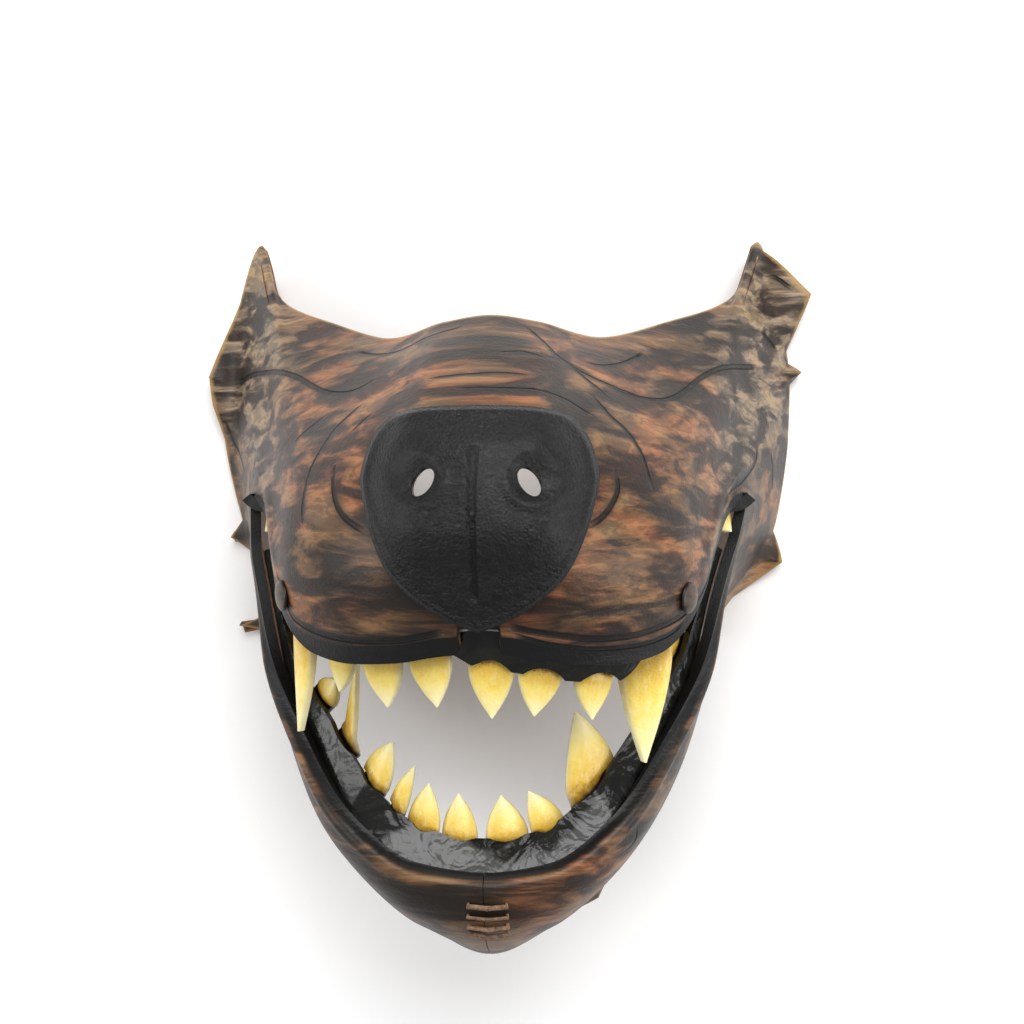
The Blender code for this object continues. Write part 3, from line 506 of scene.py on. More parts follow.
def solid(name, points, faces, materials, kinds=None, marks=None):
    """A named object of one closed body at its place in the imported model, faces outwards, shaded
    smooth between its sharp edges. marks are named values of each point for its material."""
    mesh = bpy.data.meshes.new(name)
    mesh.from_pydata([tuple(point) for point in np.asarray(points) + INTO_FRAME], [], faces)
    for material in materials:
        mesh.materials.append(material)
    if kinds is not None:
        mesh.polygons.foreach_set("material_index", kinds)
    for mark, values in (marks or {}).items():
        numbers = np.ravel(values).astype(np.float32)
        mesh.attributes.new(mark, "FLOAT", "POINT").data.foreach_set("value", numbers)
    bm = bmesh.new()
    bm.from_mesh(mesh)
    bmesh.ops.recalc_face_normals(bm, faces=bm.faces)
    bm.to_mesh(mesh)
    bm.free()
    mesh.shade_smooth()
    mesh.set_sharp_from_angle(angle=SHARP_ANGLE)
    obj = bpy.data.objects.new(name, mesh)
    bpy.context.collection.objects.link(obj)
    return obj


def settle(obj):
    """Replaces an object's mesh by what its modifiers make of it, and removes them."""
    bpy.context.view_layer.update()
    graph = bpy.context.evaluated_depsgraph_get()
    obj.data = bpy.data.meshes.new_from_object(obj.evaluated_get(graph))
    obj.modifiers.clear()


def cut(obj, cutter):
    hole = obj.modifiers.new("hole", "BOOLEAN")
    hole.operation = "DIFFERENCE"
    hole.solver = "EXACT"
    hole.object = cutter
    settle(obj)
    bpy.data.objects.remove(cutter)


def stands_for(obj, node):
    """Rides a finished piece on the mask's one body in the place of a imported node."""
    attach(obj, "root")
    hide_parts(node)


@functools.cache
def mouth_line(jaw):
    """Steps along one half of a jaw's mouth line, and the distance walked to each."""
    steps = np.linspace(0, abs(JAWS[jaw].middle - CORNER), LINE_STEPS)
    edge = np.array([on_section(JAWS[jaw].middle + JAWS[jaw].way * step, [0])[0] for step in steps])
    return steps, np.concatenate([[0], np.cumsum(np.linalg.norm(np.diff(edge, axis=0), axis=1))])


def mouth_place(jaw, share):
    """The section number, counted from the middle of the jaw's mouth line, at a signed share of it."""
    steps, walked = mouth_line(jaw)
    return math.copysign(np.interp(abs(share), walked / walked[-1], steps), share)


def skin_point(jaw, place, distance):
    at = JAWS[jaw].middle + JAWS[jaw].way * abs(place)
    return on_section(at, [distance])[0] * np.array((math.copysign(1, place), 1, 1)) + sway(at)


def skin_frame(jaw, place, distance, base):
    """A point of the skin with its outward normal, taken over a base length, and its direction along
    the mouth line."""
    here = skin_point(jaw, place, distance)
    near, far = (skin_point(jaw, place + step, distance) for step in (-FRAME_STEP, FRAME_STEP))
    along = unit(far - near)
    back = skin_point(jaw, place, distance + base) - here
    return here, unit(np.cross(along, back)) * -JAWS[jaw].way, along


@functools.cache
def mouth_lean(jaw, place):
    """How a layer past the mouth edge lies: its outward normal, and its way into the mouth."""
    _, out, along = skin_frame(jaw, place, 0, LEAN_BASE)
    past = np.cross(out, along) * JAWS[jaw].way
    lean = JAWS[jaw].lean
    return math.cos(lean) * out + math.sin(lean) * past, math.cos(lean) * past - math.sin(lean) * out


@functools.cache
def edge_frame(jaw, place, reach):
    return skin_frame(jaw, place, max(0, -reach), LEATHER)


def layer_point(jaw, place, reach, depth):
    """A point at a depth below the leather's face and at a reach past the mouth edge. Before the
    edge it follows the skin, and past the edge the layer leans into the mouth."""
    here, out, _ = edge_frame(jaw, place, min(0, reach))
    leaning_out, leaning_past = mouth_lean(jaw, place)
    part = min(1, max(0, 0.5 + reach / LEAN_BEND))
    across = unit((1 - part) * out + part * leaning_out)
    start = LEATHER + LAYER_GAP
    return here - start * out + max(0, reach) * leaning_past - (depth - start) * across


def gum_reach(jaw, share):
    """How far a gum strip shows past the mouth edge: scalloped round the teeth, and narrower or
    tucked away towards the corner."""
    line = mouth_line(jaw)[1][-1]
    nearest = 1
    for tooth in TEETH:
        if tooth.jaw == jaw:
            half = tooth.width * KIND_SIZES[tooth.kind][0] / 2 / line
            nearest = min(nearest, abs(share - tooth.at) / half)
    reach = JAWS[jaw].show + JAWS[jaw].scallop * nearest**2
    if jaw == "upper":
        past = abs(share) - UPPER_GUM_SHOWN[int(math.copysign(1, share))]
        return reach - (reach + GUM_TUCK / 4) * smooth_step(past * line / INCISOR_WIDTH)
    return reach * (1 - LOWER_NARROWS * abs(share / JAWS[jaw].gum_end) ** LOWER_NARROWING)


def gum_depth(reach):
    return LEATHER + LAYER_GAP + GUM_EASE * max(0, -reach) / GUM_TUCK


def tooth_half_width(kind, part):
    """Half a tooth's width as a share of it, from the gum (0) to the tip (1)."""
    neck = TOOTH_BASE + (1 - TOOTH_BASE) * smooth_step(part / TOOTH_NECK)
    taper = max(0, (part - TOOTH_NECK) / (1 - TOOTH_NECK)) ** TOOTH_FULLNESS[kind]
    return 0.5 * neck * (1 - (1 - TOOTH_TIP) * taper)


def tooth_ways(tooth):
    """The way a tooth's crown points, past the gum and upright for the front teeth, and the way
    across it."""
    place = mouth_place(tooth.jaw, tooth.at)
    past = mouth_lean(tooth.jaw, place)[1]
    upright = np.array((0, JAWS[tooth.jaw].way, 0)) * UPRIGHT[tooth.kind]
    way = unit(past + upright)
    along = skin_frame(tooth.jaw, place, 0, LEAN_BASE)[2]
    across = unit(along - SQUARE[tooth.kind] * np.dot(along, way) * way)
    turn = math.radians(tooth.turn)
    return way, math.cos(turn) * across + math.sin(turn) * np.cross(way, across)


def tooth_base(tooth, share, deep, part):
    """A point of a tooth's root or base, which follow the gum strip or, past its end, the skin."""
    reach = gum_reach(tooth.jaw, share) + min(0, part) * TOOTH_ROOT
    held_by = GUM_LEATHER + TOOTH_GAP if abs(tooth.at) < JAWS[tooth.jaw].gum_end else 0
    return layer_point(tooth.jaw, mouth_place(tooth.jaw, share), reach, gum_depth(reach) + held_by + deep)


def skin_tree(outer):
    """The shell's face as a surface that pieces can be laid on."""
    columns, rows = outer.shape[:2]
    faces = [
        (start, start + rows, start + rows + 1, start + 1)
        for start in (column * rows + row for column in range(columns - 1) for row in range(rows - 1))
    ]
    return BVHTree.FromPolygons([tuple(point) for point in outer.reshape(-1, 3)], faces)


@functools.cache
def plain_skin():
    """The shell's face without its notch, which the nose and the rivets lie on."""
    return skin_tree(shell_grid(notched=False)[0])


def height_at(tree, across, up):
    return tree.ray_cast(Vector((across, up, 2 * DEPTH)), Vector((0, 0, -1)))[0].z


def laid_on(tree, across, up):
    """A point of the shell's face and the face's slope there."""
    step = 0.5 * LEATHER
    height = height_at(tree, across, up)
    slope = Vector((
        height_at(tree, across - step, up) - height_at(tree, across + step, up),
        height_at(tree, across, up - step) - height_at(tree, across, up + step),
        2 * step,
    )).normalized()
    return np.array((across, up, height)), np.array(slope)


def camera_axes():
    """The camera's place and its own right, up and backward directions."""
    backward = np.array((math.sin(CAMERA_YAW), 0, math.cos(CAMERA_YAW)))
    right = np.array((math.cos(CAMERA_YAW), 0, -math.sin(CAMERA_YAW)))
    return CAMERA_TARGET + CAMERA_DISTANCE * backward, right, np.array((0, 1, 0)), backward


def seen_at(tree, pixel):
    """The point of the shell's face that the photograph shows at a pixel, or None past its edge."""
    place, right, up, backward = camera_axes()
    across, down = (np.array(pixel) - FRAME_SIZE / 2) / FOCAL_PIXELS
    ray = across * right - down * up - backward
    hit = tree.ray_cast(Vector(place - INTO_FRAME), Vector(unit(ray)))[0]
    return None if hit is None else np.array(hit)


def groove_path(tree, groove):
    """A tooled line's points on the shell's face, evenly rounded between the points it is drawn by."""
    found = [point for point in (seen_at(tree, pixel) for pixel in groove.points) if point is not None]
    if len(found) < 2:
        raise RuntimeError(f"the tooled line {groove.name} misses the shell")
    return smooth_through(found, np.linspace(0, len(found) - 1, 4 * len(found)))


def groove_marks(tree, points, normals):
    """For each group of tooled lines, each point's signed distance in millimetres from the nearest
    line, less for a wider line, and how strongly the line is cut beside it."""
    marks = {}
    for group in range(GROOVE_GROUPS):
        nearest = np.full(len(points), 2 * GROOVE_REACH)
        signed = np.full(len(points), 2 * GROOVE_REACH)
        strength = np.zeros(len(points))
        for groove in GROOVES:
            if groove.group != group:
                continue
            path = groove_path(tree, groove)
            steps = np.diff(path, axis=0)
            lengths = np.linalg.norm(steps, axis=1)
            walked = np.concatenate([[0], np.cumsum(lengths)])
            for start, step, length, before in zip(path, steps, lengths, walked):
                if length == 0:
                    continue
                away = points - start
                part = np.clip(away @ step / length**2, 0, 1)
                off = away - part[:, None] * step
                distance = np.linalg.norm(off, axis=1)
                closer = distance < nearest
                nearest[closer] = distance[closer]
                side = np.sign(np.einsum("ij,ij->i", np.cross(step, off), normals))
                signed[closer] = (side * distance / groove.width)[closer]
                along = before + part * length
                ends = smooth_step(np.minimum(along, walked[-1] - along) / GROOVE_TAPER)
                strength[closer] = ends[closer]
        marks[f"groove_{group}"] = signed * 1000
        marks[f"groove_cut_{group}"] = strength * smooth_step(2 - 2 * nearest / GROOVE_REACH)
    return marks


class Paint:
    """Short calls for laying out a material's nodes."""

    def __init__(self, name, roughness, coat=0.0, coat_roughness=0.3, specular=0.5):
        self.material = bpy.data.materials.new(name)
        self.material.use_nodes = True
        self.tree = self.material.node_tree
        self.shader = self.tree.nodes["Principled BSDF"]
        self.shader.inputs["Roughness"].default_value = roughness
        self.shader.inputs["Coat Weight"].default_value = coat
        self.shader.inputs["Coat Roughness"].default_value = coat_roughness
        self.shader.inputs["Specular IOR Level"].default_value = specular
        self.place = self.tree.nodes.new("ShaderNodeTexCoord").outputs["Object"]

    def add(self, kind, inputs, **settings):
        node = self.tree.nodes.new(kind)
        for name, value in settings.items():
            setattr(node, name, value)
        for name, value in inputs.items():
            if isinstance(value, bpy.types.NodeSocket):
                self.tree.links.new(value, node.inputs[name])
            else:
                node.inputs[name].default_value = value
        return node

    def stretched(self, scale, turn=(0, 0, 0)):
        inputs = {"Vector": self.place, "Scale": scale, "Rotation": turn}
        return self.add("ShaderNodeMapping", inputs).outputs[0]

    def noise(self, where, scale, detail=4.0, roughness=0.6, distortion=0.0):
        inputs = {"Vector": where, "Scale": scale, "Detail": detail}
        inputs.update({"Roughness": roughness, "Distortion": distortion})
        return self.add("ShaderNodeTexNoise", inputs).outputs["Fac"]

    def cells(self, where, scale, feature="F1"):
        node = self.add("ShaderNodeTexVoronoi", {"Vector": where, "Scale": scale}, feature=feature)
        return node.outputs["Distance"]

    def mark(self, name):
        return self.add("ShaderNodeAttribute", {}, attribute_name=name).outputs["Fac"]

    def sum(self, operation, first, second=0.0, third=0.0):
        inputs = {0: first, 1: second, 2: third}
        return self.add("ShaderNodeMath", inputs, operation=operation).outputs[0]

    def between(self, value, low, high, start=0.0, end=1.0):
        return self.add("ShaderNodeMapRange", {
            "Value": value, "From Min": low, "From Max": high, "To Min": start, "To Max": end,
        }, interpolation_type="SMOOTHSTEP").outputs[0]

    def mix(self, share, first, second, blend="MIX"):
        node = self.add("ShaderNodeMix", {0: share}, data_type="RGBA", blend_type=blend)
        for index, value in ((6, first), (7, second)):
            if isinstance(value, bpy.types.NodeSocket):
                self.tree.links.new(value, node.inputs[index])
            else:
                node.inputs[index].default_value = (*value, 1)
        return node.outputs[2]

    def ramp(self, value, stops):
        node = self.add("ShaderNodeValToRGB", {"Fac": value})
        while len(node.color_ramp.elements) < len(stops):
            node.color_ramp.elements.new(0.5)
        for element, (at, colour) in zip(node.color_ramp.elements, stops):
            element.position = at
            element.color = (*colour, 1)
        return node.outputs["Color"]

    def bump(self, height, distance, normal=None):
        inputs = {"Height": height, "Distance": distance, "Strength": 1.0}
        if normal:
            inputs["Normal"] = normal
        return self.add("ShaderNodeBump", inputs).outputs[0]

    def use(self, colour=None, roughness=None, normal=None):
        for name, value in (("Base Color", colour), ("Roughness", roughness), ("Normal", normal)):
            if value is not None:
                self.tree.links.new(value, self.shader.inputs[name])
        return self.material


def grain(paint, size, depth):
    """The fine pebble and crease of leather, as a bump."""
    pebbles = paint.cells(paint.place, 1 / size)
    creases = paint.noise(paint.place, 0.4 / size, 5, 0.7)
    height = paint.sum("MULTIPLY_ADD", creases, 1.2, pebbles)
    return paint.bump(height, depth)


def groove_line(paint):
    """How far each place is inside a tooled line, from 0 to 1."""
    line = None
    for group in range(GROOVE_GROUPS):
        away = paint.sum("ABSOLUTE", paint.mark(f"groove_{group}"))
        inside = paint.between(away, 0.26, 0.76, 1.0, 0.0)
        here = paint.sum("MULTIPLY", inside, paint.mark(f"groove_cut_{group}"))
        line = here if line is None else paint.sum("MAXIMUM", line, here)
    return line


def groove_shade(paint):
    """The wider soft shadow beside a tooled line, from 0 to 1."""
    shade = None
    for group in range(GROOVE_GROUPS):
        away = paint.sum("ABSOLUTE", paint.mark(f"groove_{group}"))
        inside = paint.between(away, 0.2, 2.2, 1.0, 0.0)
        here = paint.sum("MULTIPLY", inside, paint.mark(f"groove_cut_{group}"))
        shade = here if shade is None else paint.sum("MAXIMUM", shade, here)
    return shade


def fur_leather(looks):
    """Leather painted like a wolf's fur: soft dark streaks over tan, rust and ochre, paler on the
    wings, black along the lips, with the tooled lines and a smooth grain."""
    paint = Paint("fur_painted_leather", 0.42, coat=0.10, coat_roughness=0.30, specular=0.4)
    broad = paint.noise(paint.stretched((0.75, 1.0, 0.8)), 26, 3, 0.5, 0.4)
    streak = paint.noise(paint.stretched((0.30, 2.5, 1.1), (0, 0, 0.06)), 62, 5, 0.55, 0.5)
    fine = paint.noise(paint.stretched((0.22, 2.1, 0.9), (0, 0, -0.05)), 190, 5, 0.62, 0.7)
    base = paint.ramp(broad, (
        (0.30, looks.charcoal), (0.43, looks.brown), (0.52, looks.rust),
        (0.60, looks.brown), (0.70, looks.tan),
    ))
    paler = paint.ramp(streak, (
        (0.30, looks.charcoal), (0.47, looks.brown), (0.60, looks.tan), (0.74, looks.ochre),
    ))
    wing = paint.mark("wing")
    pale_wing = paint.ramp(streak, (
        (0.28, looks.charcoal), (0.42, looks.brown), (0.55, looks.beige), (0.72, looks.ochre),
    ))
    colour = paint.mix(0.50, base, paler)
    colour = paint.mix(paint.sum("MULTIPLY", wing, 0.75), colour, pale_wing)
    dark_streak = paint.between(streak, 0.42, 0.56, 0.80, 0.0)
    colour = paint.mix(dark_streak, colour, looks.charcoal)
    hairs = paint.between(fine, 0.42, 0.60, 0.50, 0.0)
    colour = paint.mix(hairs, colour, looks.charcoal)
    rim = paint.mark("rim")
    worn = paint.between(paint.sum("MULTIPLY_ADD", fine, 2.0, rim), 1.2, 2.6, 0.8, 0.0)
    colour = paint.mix(worn, colour, looks.worn_edge)
    # Painted shade: a soft charcoal band beside each tooled line.
    shade = paint.sum("MULTIPLY", groove_shade(paint), 0.55)
    colour = paint.mix(shade, colour, looks.charcoal)
    line = groove_line(paint)
    colour = paint.mix(paint.sum("MULTIPLY", line, 0.9), colour, looks.black)
    band = paint.mark("lip_band")
    colour = paint.mix(band, colour, looks.black)
    roughness = paint.sum("MULTIPLY_ADD", fine, 0.25, 0.33)
    normal = grain(paint, 0.0009, 0.00006)
    wrinkles = paint.bump(streak, 0.0007, normal)
    normal = paint.bump(paint.sum("SUBTRACT", 1.0, line), 0.0013, wrinkles)
    return paint.use(colour, roughness, normal)


def inside_leather(looks):
    paint = Paint("inside_leather", 0.7)
    soft = paint.noise(paint.place, 60, 6, 0.7)
    colour = paint.ramp(soft, ((0.3, looks.inside_dark), (0.7, looks.inside)))
    return paint.use(colour, None, grain(paint, 0.0006, 0.0002))


def cut_edge(looks):
    """The burnished edge of the leather, dark at the mouth and worn paler outside."""
    paint = Paint("burnished_edge", 0.5)
    soft = paint.noise(paint.place, 220, 4, 0.6)
    outside = paint.ramp(soft, ((0.35, looks.brown), (0.65, looks.worn_edge)))
    colour = paint.mix(paint.mark("lip_band"), outside, looks.black)
    return paint.use(colour, None, grain(paint, 0.0005, 0.0001))


def nose_leather(looks):
    """Black leather with a pebbled face, and the groove pressed down the middle of the nose. The raised
    grain is painted a lighter black as a painted highlight, and the groove is painted near black as painted
    shade.
    """
    paint = Paint("black_pebbled_nose", 0.36, coat=0.12, coat_roughness=0.25, specular=0.35)
    pebbles = paint.cells(paint.place, 1400, "SMOOTH_F1")
    creases = paint.noise(paint.stretched((1, 1.3, 1)), 420, 6, 0.7, 0.6)
    soft = paint.noise(paint.place, 90, 4, 0.6)
    # Painted highlight: the raised grain is coloured lighter than the black creases between it.
    colour = paint.ramp(creases, ((0.35, looks.black), (0.7, looks.nose_grain_highlight)))
    roughness = paint.between(soft, 0.3, 0.7, 0.30, 0.46)
    height = paint.sum("MULTIPLY_ADD", creases, 1.6, pebbles)
    groove = paint.mark("groove")
    normal = paint.bump(height, 0.00028)
    normal = paint.bump(paint.sum("SUBTRACT", 1.0, groove), 0.0012, normal)
    # Painted shade: the groove down the middle is coloured near black, darker than the rest of the nose.
    return paint.use(paint.mix(groove, colour, (0.001, 0.001, 0.001)), roughness, normal)


def gum_leather(looks):
    """Black leather sealed to a wet gloss, with swirling folds, whose raised parts are painted a lighter
    black as a painted highlight.
    """
    paint = Paint("black_glossy_gum", 0.20, coat=0.45, coat_roughness=0.08, specular=0.35)
    swirl = paint.noise(paint.place, 80, 2, 0.5, 2.0)
    ripple = paint.noise(paint.place, 260, 2, 0.5, 1.2)
    # Painted highlight: the raised swirling folds are coloured lighter than the black between them.
    colour = paint.ramp(swirl, ((0.35, looks.black), (0.75, looks.gum)))
    height = paint.sum("MULTIPLY_ADD", ripple, 0.2, swirl)
    return paint.use(colour, None, paint.bump(height, 0.0009))


def tooth_paint(looks):
    """A carved tooth: ochre by the gum, cream towards the tip, darker at its base, with a black painted
    shadow line where the gum overlaps it, pale cut sides and small specks."""
    paint = Paint("painted_tooth", 0.38, coat=0.35, coat_roughness=0.25)
    along = paint.mark("along")
    blotch = paint.noise(paint.place, 260, 4, 0.6, 0.4)
    streak = paint.noise(paint.stretched((1.6, 0.5, 0.8)), 500, 4, 0.6, 0.3)
    shifted = paint.sum("MULTIPLY_ADD", paint.sum("SUBTRACT", blotch, 0.5), 0.5, along)
    colour = paint.ramp(shifted, (
        (0.0, looks.tooth_base), (0.16, looks.tooth_ochre), (0.50, looks.tooth), (0.95, looks.tooth_tip),
    ))
    colour = paint.mix(paint.between(streak, 0.45, 0.75, 0.0, 0.35), colour, looks.tooth_tip)
    colour = paint.mix(paint.sum("MULTIPLY", paint.mark("side"), 0.55), colour, looks.tooth_side)
    specks = paint.between(paint.noise(paint.place, 1500, 2, 0.5), 0.66, 0.72, 0.0, 0.75)
    low = paint.between(along, 0.05, 0.45, 1.0, 0.12)
    colour = paint.mix(paint.sum("MULTIPLY", specks, low), colour, looks.brown)
    # Painted shadow: a black line across the tooth's base, where the gum strip overlaps it.
    gum_shadow_line = paint.between(paint.sum("MULTIPLY_ADD", blotch, 0.06, along), 0.03, 0.10, 1.0, 0.0)
    colour = paint.mix(gum_shadow_line, colour, looks.black)
    return paint.use(colour, None, paint.bump(blotch, 0.0003, grain(paint, 0.0007, 0.00005)))


def thong_leather(looks):
    paint = Paint("thong_leather", 0.55)
    soft = paint.noise(paint.place, 500, 4, 0.7)
    colour = paint.ramp(soft, ((0.3, looks.thong_dark), (0.65, looks.thong)))
    return paint.use(colour, None, grain(paint, 0.0005, 0.0002))


def rivet_paint(looks):
    """A rivet painted over with the leather's own colours, with a painted shadow as a dark ring round its
    edge.
    """
    paint = Paint("painted_rivet", 0.4, coat=0.2)
    streak = paint.noise(paint.stretched((0.32, 1.7, 0.7)), 90, 5, 0.6, 0.8)
    colour = paint.ramp(streak, ((0.35, looks.charcoal), (0.55, looks.brown), (0.75, looks.rust)))
    # Painted shadow: black along the head's edge, where it meets the leather.
    colour = paint.mix(paint.mark("ring"), colour, looks.black)
    return paint.use(colour, None, grain(paint, 0.0008, 0.00008))


def colour_setting(name, words, value):
    return bpy.props.FloatVectorProperty(
        name=name, description=words, subtype="COLOR", size=3, min=0, max=1, default=value)


def length_setting(name, words, value):
    return bpy.props.FloatProperty(name=name, description=words, default=value, unit="LENGTH", precision=5)


class WolfMaskLooks(bpy.types.PropertyGroup):
    """Colours of the mask's finishes."""

    # Charcoal also paints the soft shade beside the tooled lines.
    charcoal: colour_setting("Charcoal", "Dark streaks of the painted fur", (0.020, 0.015, 0.012))
    brown: colour_setting("Brown", "Middle brown of the painted fur", (0.085, 0.050, 0.030))
    rust: colour_setting("Rust", "Rust patches of the painted fur", (0.31, 0.095, 0.034))
    tan: colour_setting("Tan", "Tan patches of the painted fur", (0.37, 0.20, 0.088))
    ochre: colour_setting("Ochre", "Yellowish lights of the painted fur", (0.42, 0.30, 0.145))
    beige: colour_setting("Beige", "Pale grey of the wings", (0.38, 0.31, 0.22))
    worn_edge: colour_setting("Worn edge", "Leather bared along the outer edge", (0.42, 0.27, 0.10))
    # Black also paints the shadow line at the teeth's bases and the shadow ring round the rivets.
    black: colour_setting("Black", "Lip bands and tooled lines", (0.006, 0.006, 0.006))
    inside: colour_setting("Inside", "Flesh side of the leather", (0.32, 0.15, 0.06))
    inside_dark: colour_setting("Inside shade", "Darker places of the flesh side", (0.14, 0.065, 0.03))
    # A painted highlight on the nose's raised grain.
    nose_grain_highlight: colour_setting("Nose light", "Raised grain of the nose", (0.016, 0.016, 0.017))
    # The gum colour is a painted highlight on the gums' raised folds.
    gum: colour_setting("Gum", "Raised folds of the gums", (0.018, 0.018, 0.012))
    tooth_base: colour_setting("Tooth base", "Teeth beside the gum", (0.32, 0.17, 0.025))
    tooth_ochre: colour_setting("Tooth ochre", "Teeth near the gum", (0.66, 0.42, 0.05))
    tooth: colour_setting("Tooth", "Middle of the teeth", (0.80, 0.63, 0.16))
    tooth_tip: colour_setting("Tooth tip", "Tips of the teeth", (0.82, 0.76, 0.46))
    tooth_side: colour_setting("Tooth side", "Cut sides of the teeth", (0.58, 0.56, 0.42))
    thong: colour_setting("Thong", "Chin lace", (0.30, 0.19, 0.12))
    thong_dark: colour_setting("Thong shade", "Darker places of the chin lace", (0.09, 0.05, 0.03))


class WolfMaskSizes(bpy.types.PropertyGroup):
    """Sizes of the mask's surface details."""

    lip_band: length_setting("Lip band", "Width of the black band above the upper mouth edge", 0.0052)
    jaw_band: length_setting("Jaw band", "Width of the black band inside the rolled jaw rim", 0.0030)
    nose_groove: length_setting("Nose groove", "Half width of the groove down the nose", 0.0007)
    thong_width: length_setting("Thong width", "Width of the chin lace", LACE_WIDTH)
    thong_thickness: length_setting("Thong thickness", "Thickness of the chin lace", LACE_THICKNESS)
    rivet_diameter: length_setting("Rivet diameter", "Width of a rivet head", RIVET_DIAMETER)
    rivet_height: length_setting("Rivet height", "How far a rivet head stands up", RIVET_HEIGHT)


class WolfMaskStage(bpy.types.PropertyGroup):
    """The floor and the light."""

    floor_size: length_setting("Floor", "Side of the floor", 6.0)
    sky: bpy.props.FloatProperty(name="Sky", description="Strength of the even light", default=0.40, min=0)
    key: bpy.props.FloatProperty(
        name="Key", description="Power of the large light", default=7.5, unit="POWER")
    fill: bpy.props.FloatProperty(
        name="Fill", description="Power of each side light", default=2.6, unit="POWER")
    exposure: bpy.props.FloatProperty(
        name="Exposure", description="Brightness of the picture", default=0.32)
    gamma: bpy.props.FloatProperty(
        name="Gamma", description="Depth of the dark tones", default=0.84)


def nostril_pins(grow):
    """Two tilted oval pins that stand through the nose and the shell behind it."""
    points, faces = [], []
    for side in (-1, 1):
        rings = []
        for height in (DEPTH / 2, DEPTH * 1.2):
            ring = []
            for step in range(NOSTRIL_SIDES):
                turn = 2 * math.pi * step / NOSTRIL_SIDES
                wide = (NOSTRIL_WIDTH / 2 + grow) * math.cos(turn)
                tall = (NOSTRIL_LENGTH / 2 + grow) * math.sin(turn)
                across = wide * math.cos(NOSTRIL_TILT) + tall * math.sin(NOSTRIL_TILT)
                up = tall * math.cos(NOSTRIL_TILT) - wide * math.sin(NOSTRIL_TILT)
                ring.append((side * (across - NOSTRIL_APART), NOSE_CENTRE_UP + NOSTRIL_UP + up, height))
            rings.append(ring)
        body_points, body_faces = rings_closed(rings)
        faces += [tuple(len(points) + corner for corner in face) for face in body_faces]
        points += list(body_points)
    return solid("pins", points, faces, [])


def lace_frame(side, row):
    """Where a stitch meets the chin beside the seam, with the outward normal and the way down."""
    at = LACE_REACH / (SECTIONS[1].lip[0] * WIDTH / 2)
    distance = LACE_FIRST + row * LACE_PITCH
    here, below = on_section(at, [distance, distance + LACE_PITCH])
    down = unit(below - here)
    out = unit(np.cross(down, unit(on_section(at + FRAME_STEP, [distance])[0] - here)))
    mirror = np.array((side, 1, 1))
    return here * mirror, out * mirror, down * mirror


class WOLF_OT_shell(bpy.types.Operator):
    """Builds the painted and tooled leather shell"""

    bl_idname = "wolf_mask.shell"
    bl_label = "Leather shell"

    def execute(self, context):
        sizes = context.scene.wolf_sizes
        grid, places, inward, outward = shell_grid()
        normals = grid_normals(grid)
        roll = ROLL_HEIGHT * np.clip((CORNER - 1 - places) / 2, 0, 1)[:, None]
        ridge = np.exp(-(((inward - ROLL_WIDTH) / (ROLL_ROUND * ROLL_WIDTH)) ** 2))
        outer = grid + normals * (roll * ridge)[..., None]
        inner = grid - normals * LEATHER
        for skin in (outer, inner):
            skin[..., 2] = np.maximum(skin[..., 2], 0)
        upper = smooth_step((places - CORNER + 0.6) / 1.0)[:, None]
        band = smooth_step((sizes.lip_band - inward) / 0.0006 + 0.5) * upper
        band += smooth_step((sizes.jaw_band - inward) / 0.0012 + 0.5) * (1 - upper)
        aside = np.abs(grid[..., 0]) / (WIDTH / 2)
        wing = smooth_step((aside - 0.55) / 0.35) * smooth_step((places - 7.5) / 1.5)[:, None]
        marks = {"lip_band": band, "rim": outward * 1000, "wing": wing}
        flat = grid.reshape(-1, 3)
        marks.update(groove_marks(skin_tree(outer), flat, normals.reshape(-1, 3)))
        both = {name: np.tile(np.ravel(values), 2) for name, values in marks.items()}
        looks = context.scene.wolf_looks
        finishes = [fur_leather(looks), inside_leather(looks), cut_edge(looks)]
        points, faces, kinds = sheet_between(outer, inner)
        shell = solid("painted_shell", points, faces, finishes, kinds, both)
        cut(shell, nostril_pins(FIT_GAP))
        stands_for(shell, "mask_shell")
        return {"FINISHED"}


def nose_height(across, up, part):
    """Thickness of the nose pad: full inside its edge, hollow beside the nostrils with a raised rim
    round each, and a thin bead along the outline."""
    above_tip = smooth_step((up + NOSE_HEIGHT / 4) / NOSE_WIDE)
    full = NOSE_SWELL * smooth_step(NOSE_SHOULDER * (1 - part)) * above_tip
    shape = 0
    for side in (-1, 1):
        sideways = (across - side * NOSTRIL_APART) * side
        upward = up - NOSTRIL_UP
        away = math.hypot(sideways, upward)
        shape -= math.exp(-((away / NOSTRIL_HOLLOW) ** 2)) * NOSE_SWELL
        outside = away / NOSTRIL_HOLLOW - NOSTRIL_RIM_OUT
        ring = math.exp(-((outside / NOSTRIL_RIM_WIDE) ** 2))
        lower_inside = 0.5 - 0.5 * (sideways + upward) / max(away, NOSTRIL_RIM) / math.sqrt(2)
        shape += NOSTRIL_RIM * ring * lower_inside
    bead = NOSE_BEAD * math.exp(-(((part - NOSE_BEAD_AT) / NOSE_BEAD_WIDE) ** 2))
    edge = 1 - NOSE_EDGE_THIN * smooth_step((part - NOSE_EDGE_FROM) / (1 - NOSE_EDGE_FROM))
    return (NOSE_LEATHER + full + shape + bead) * edge


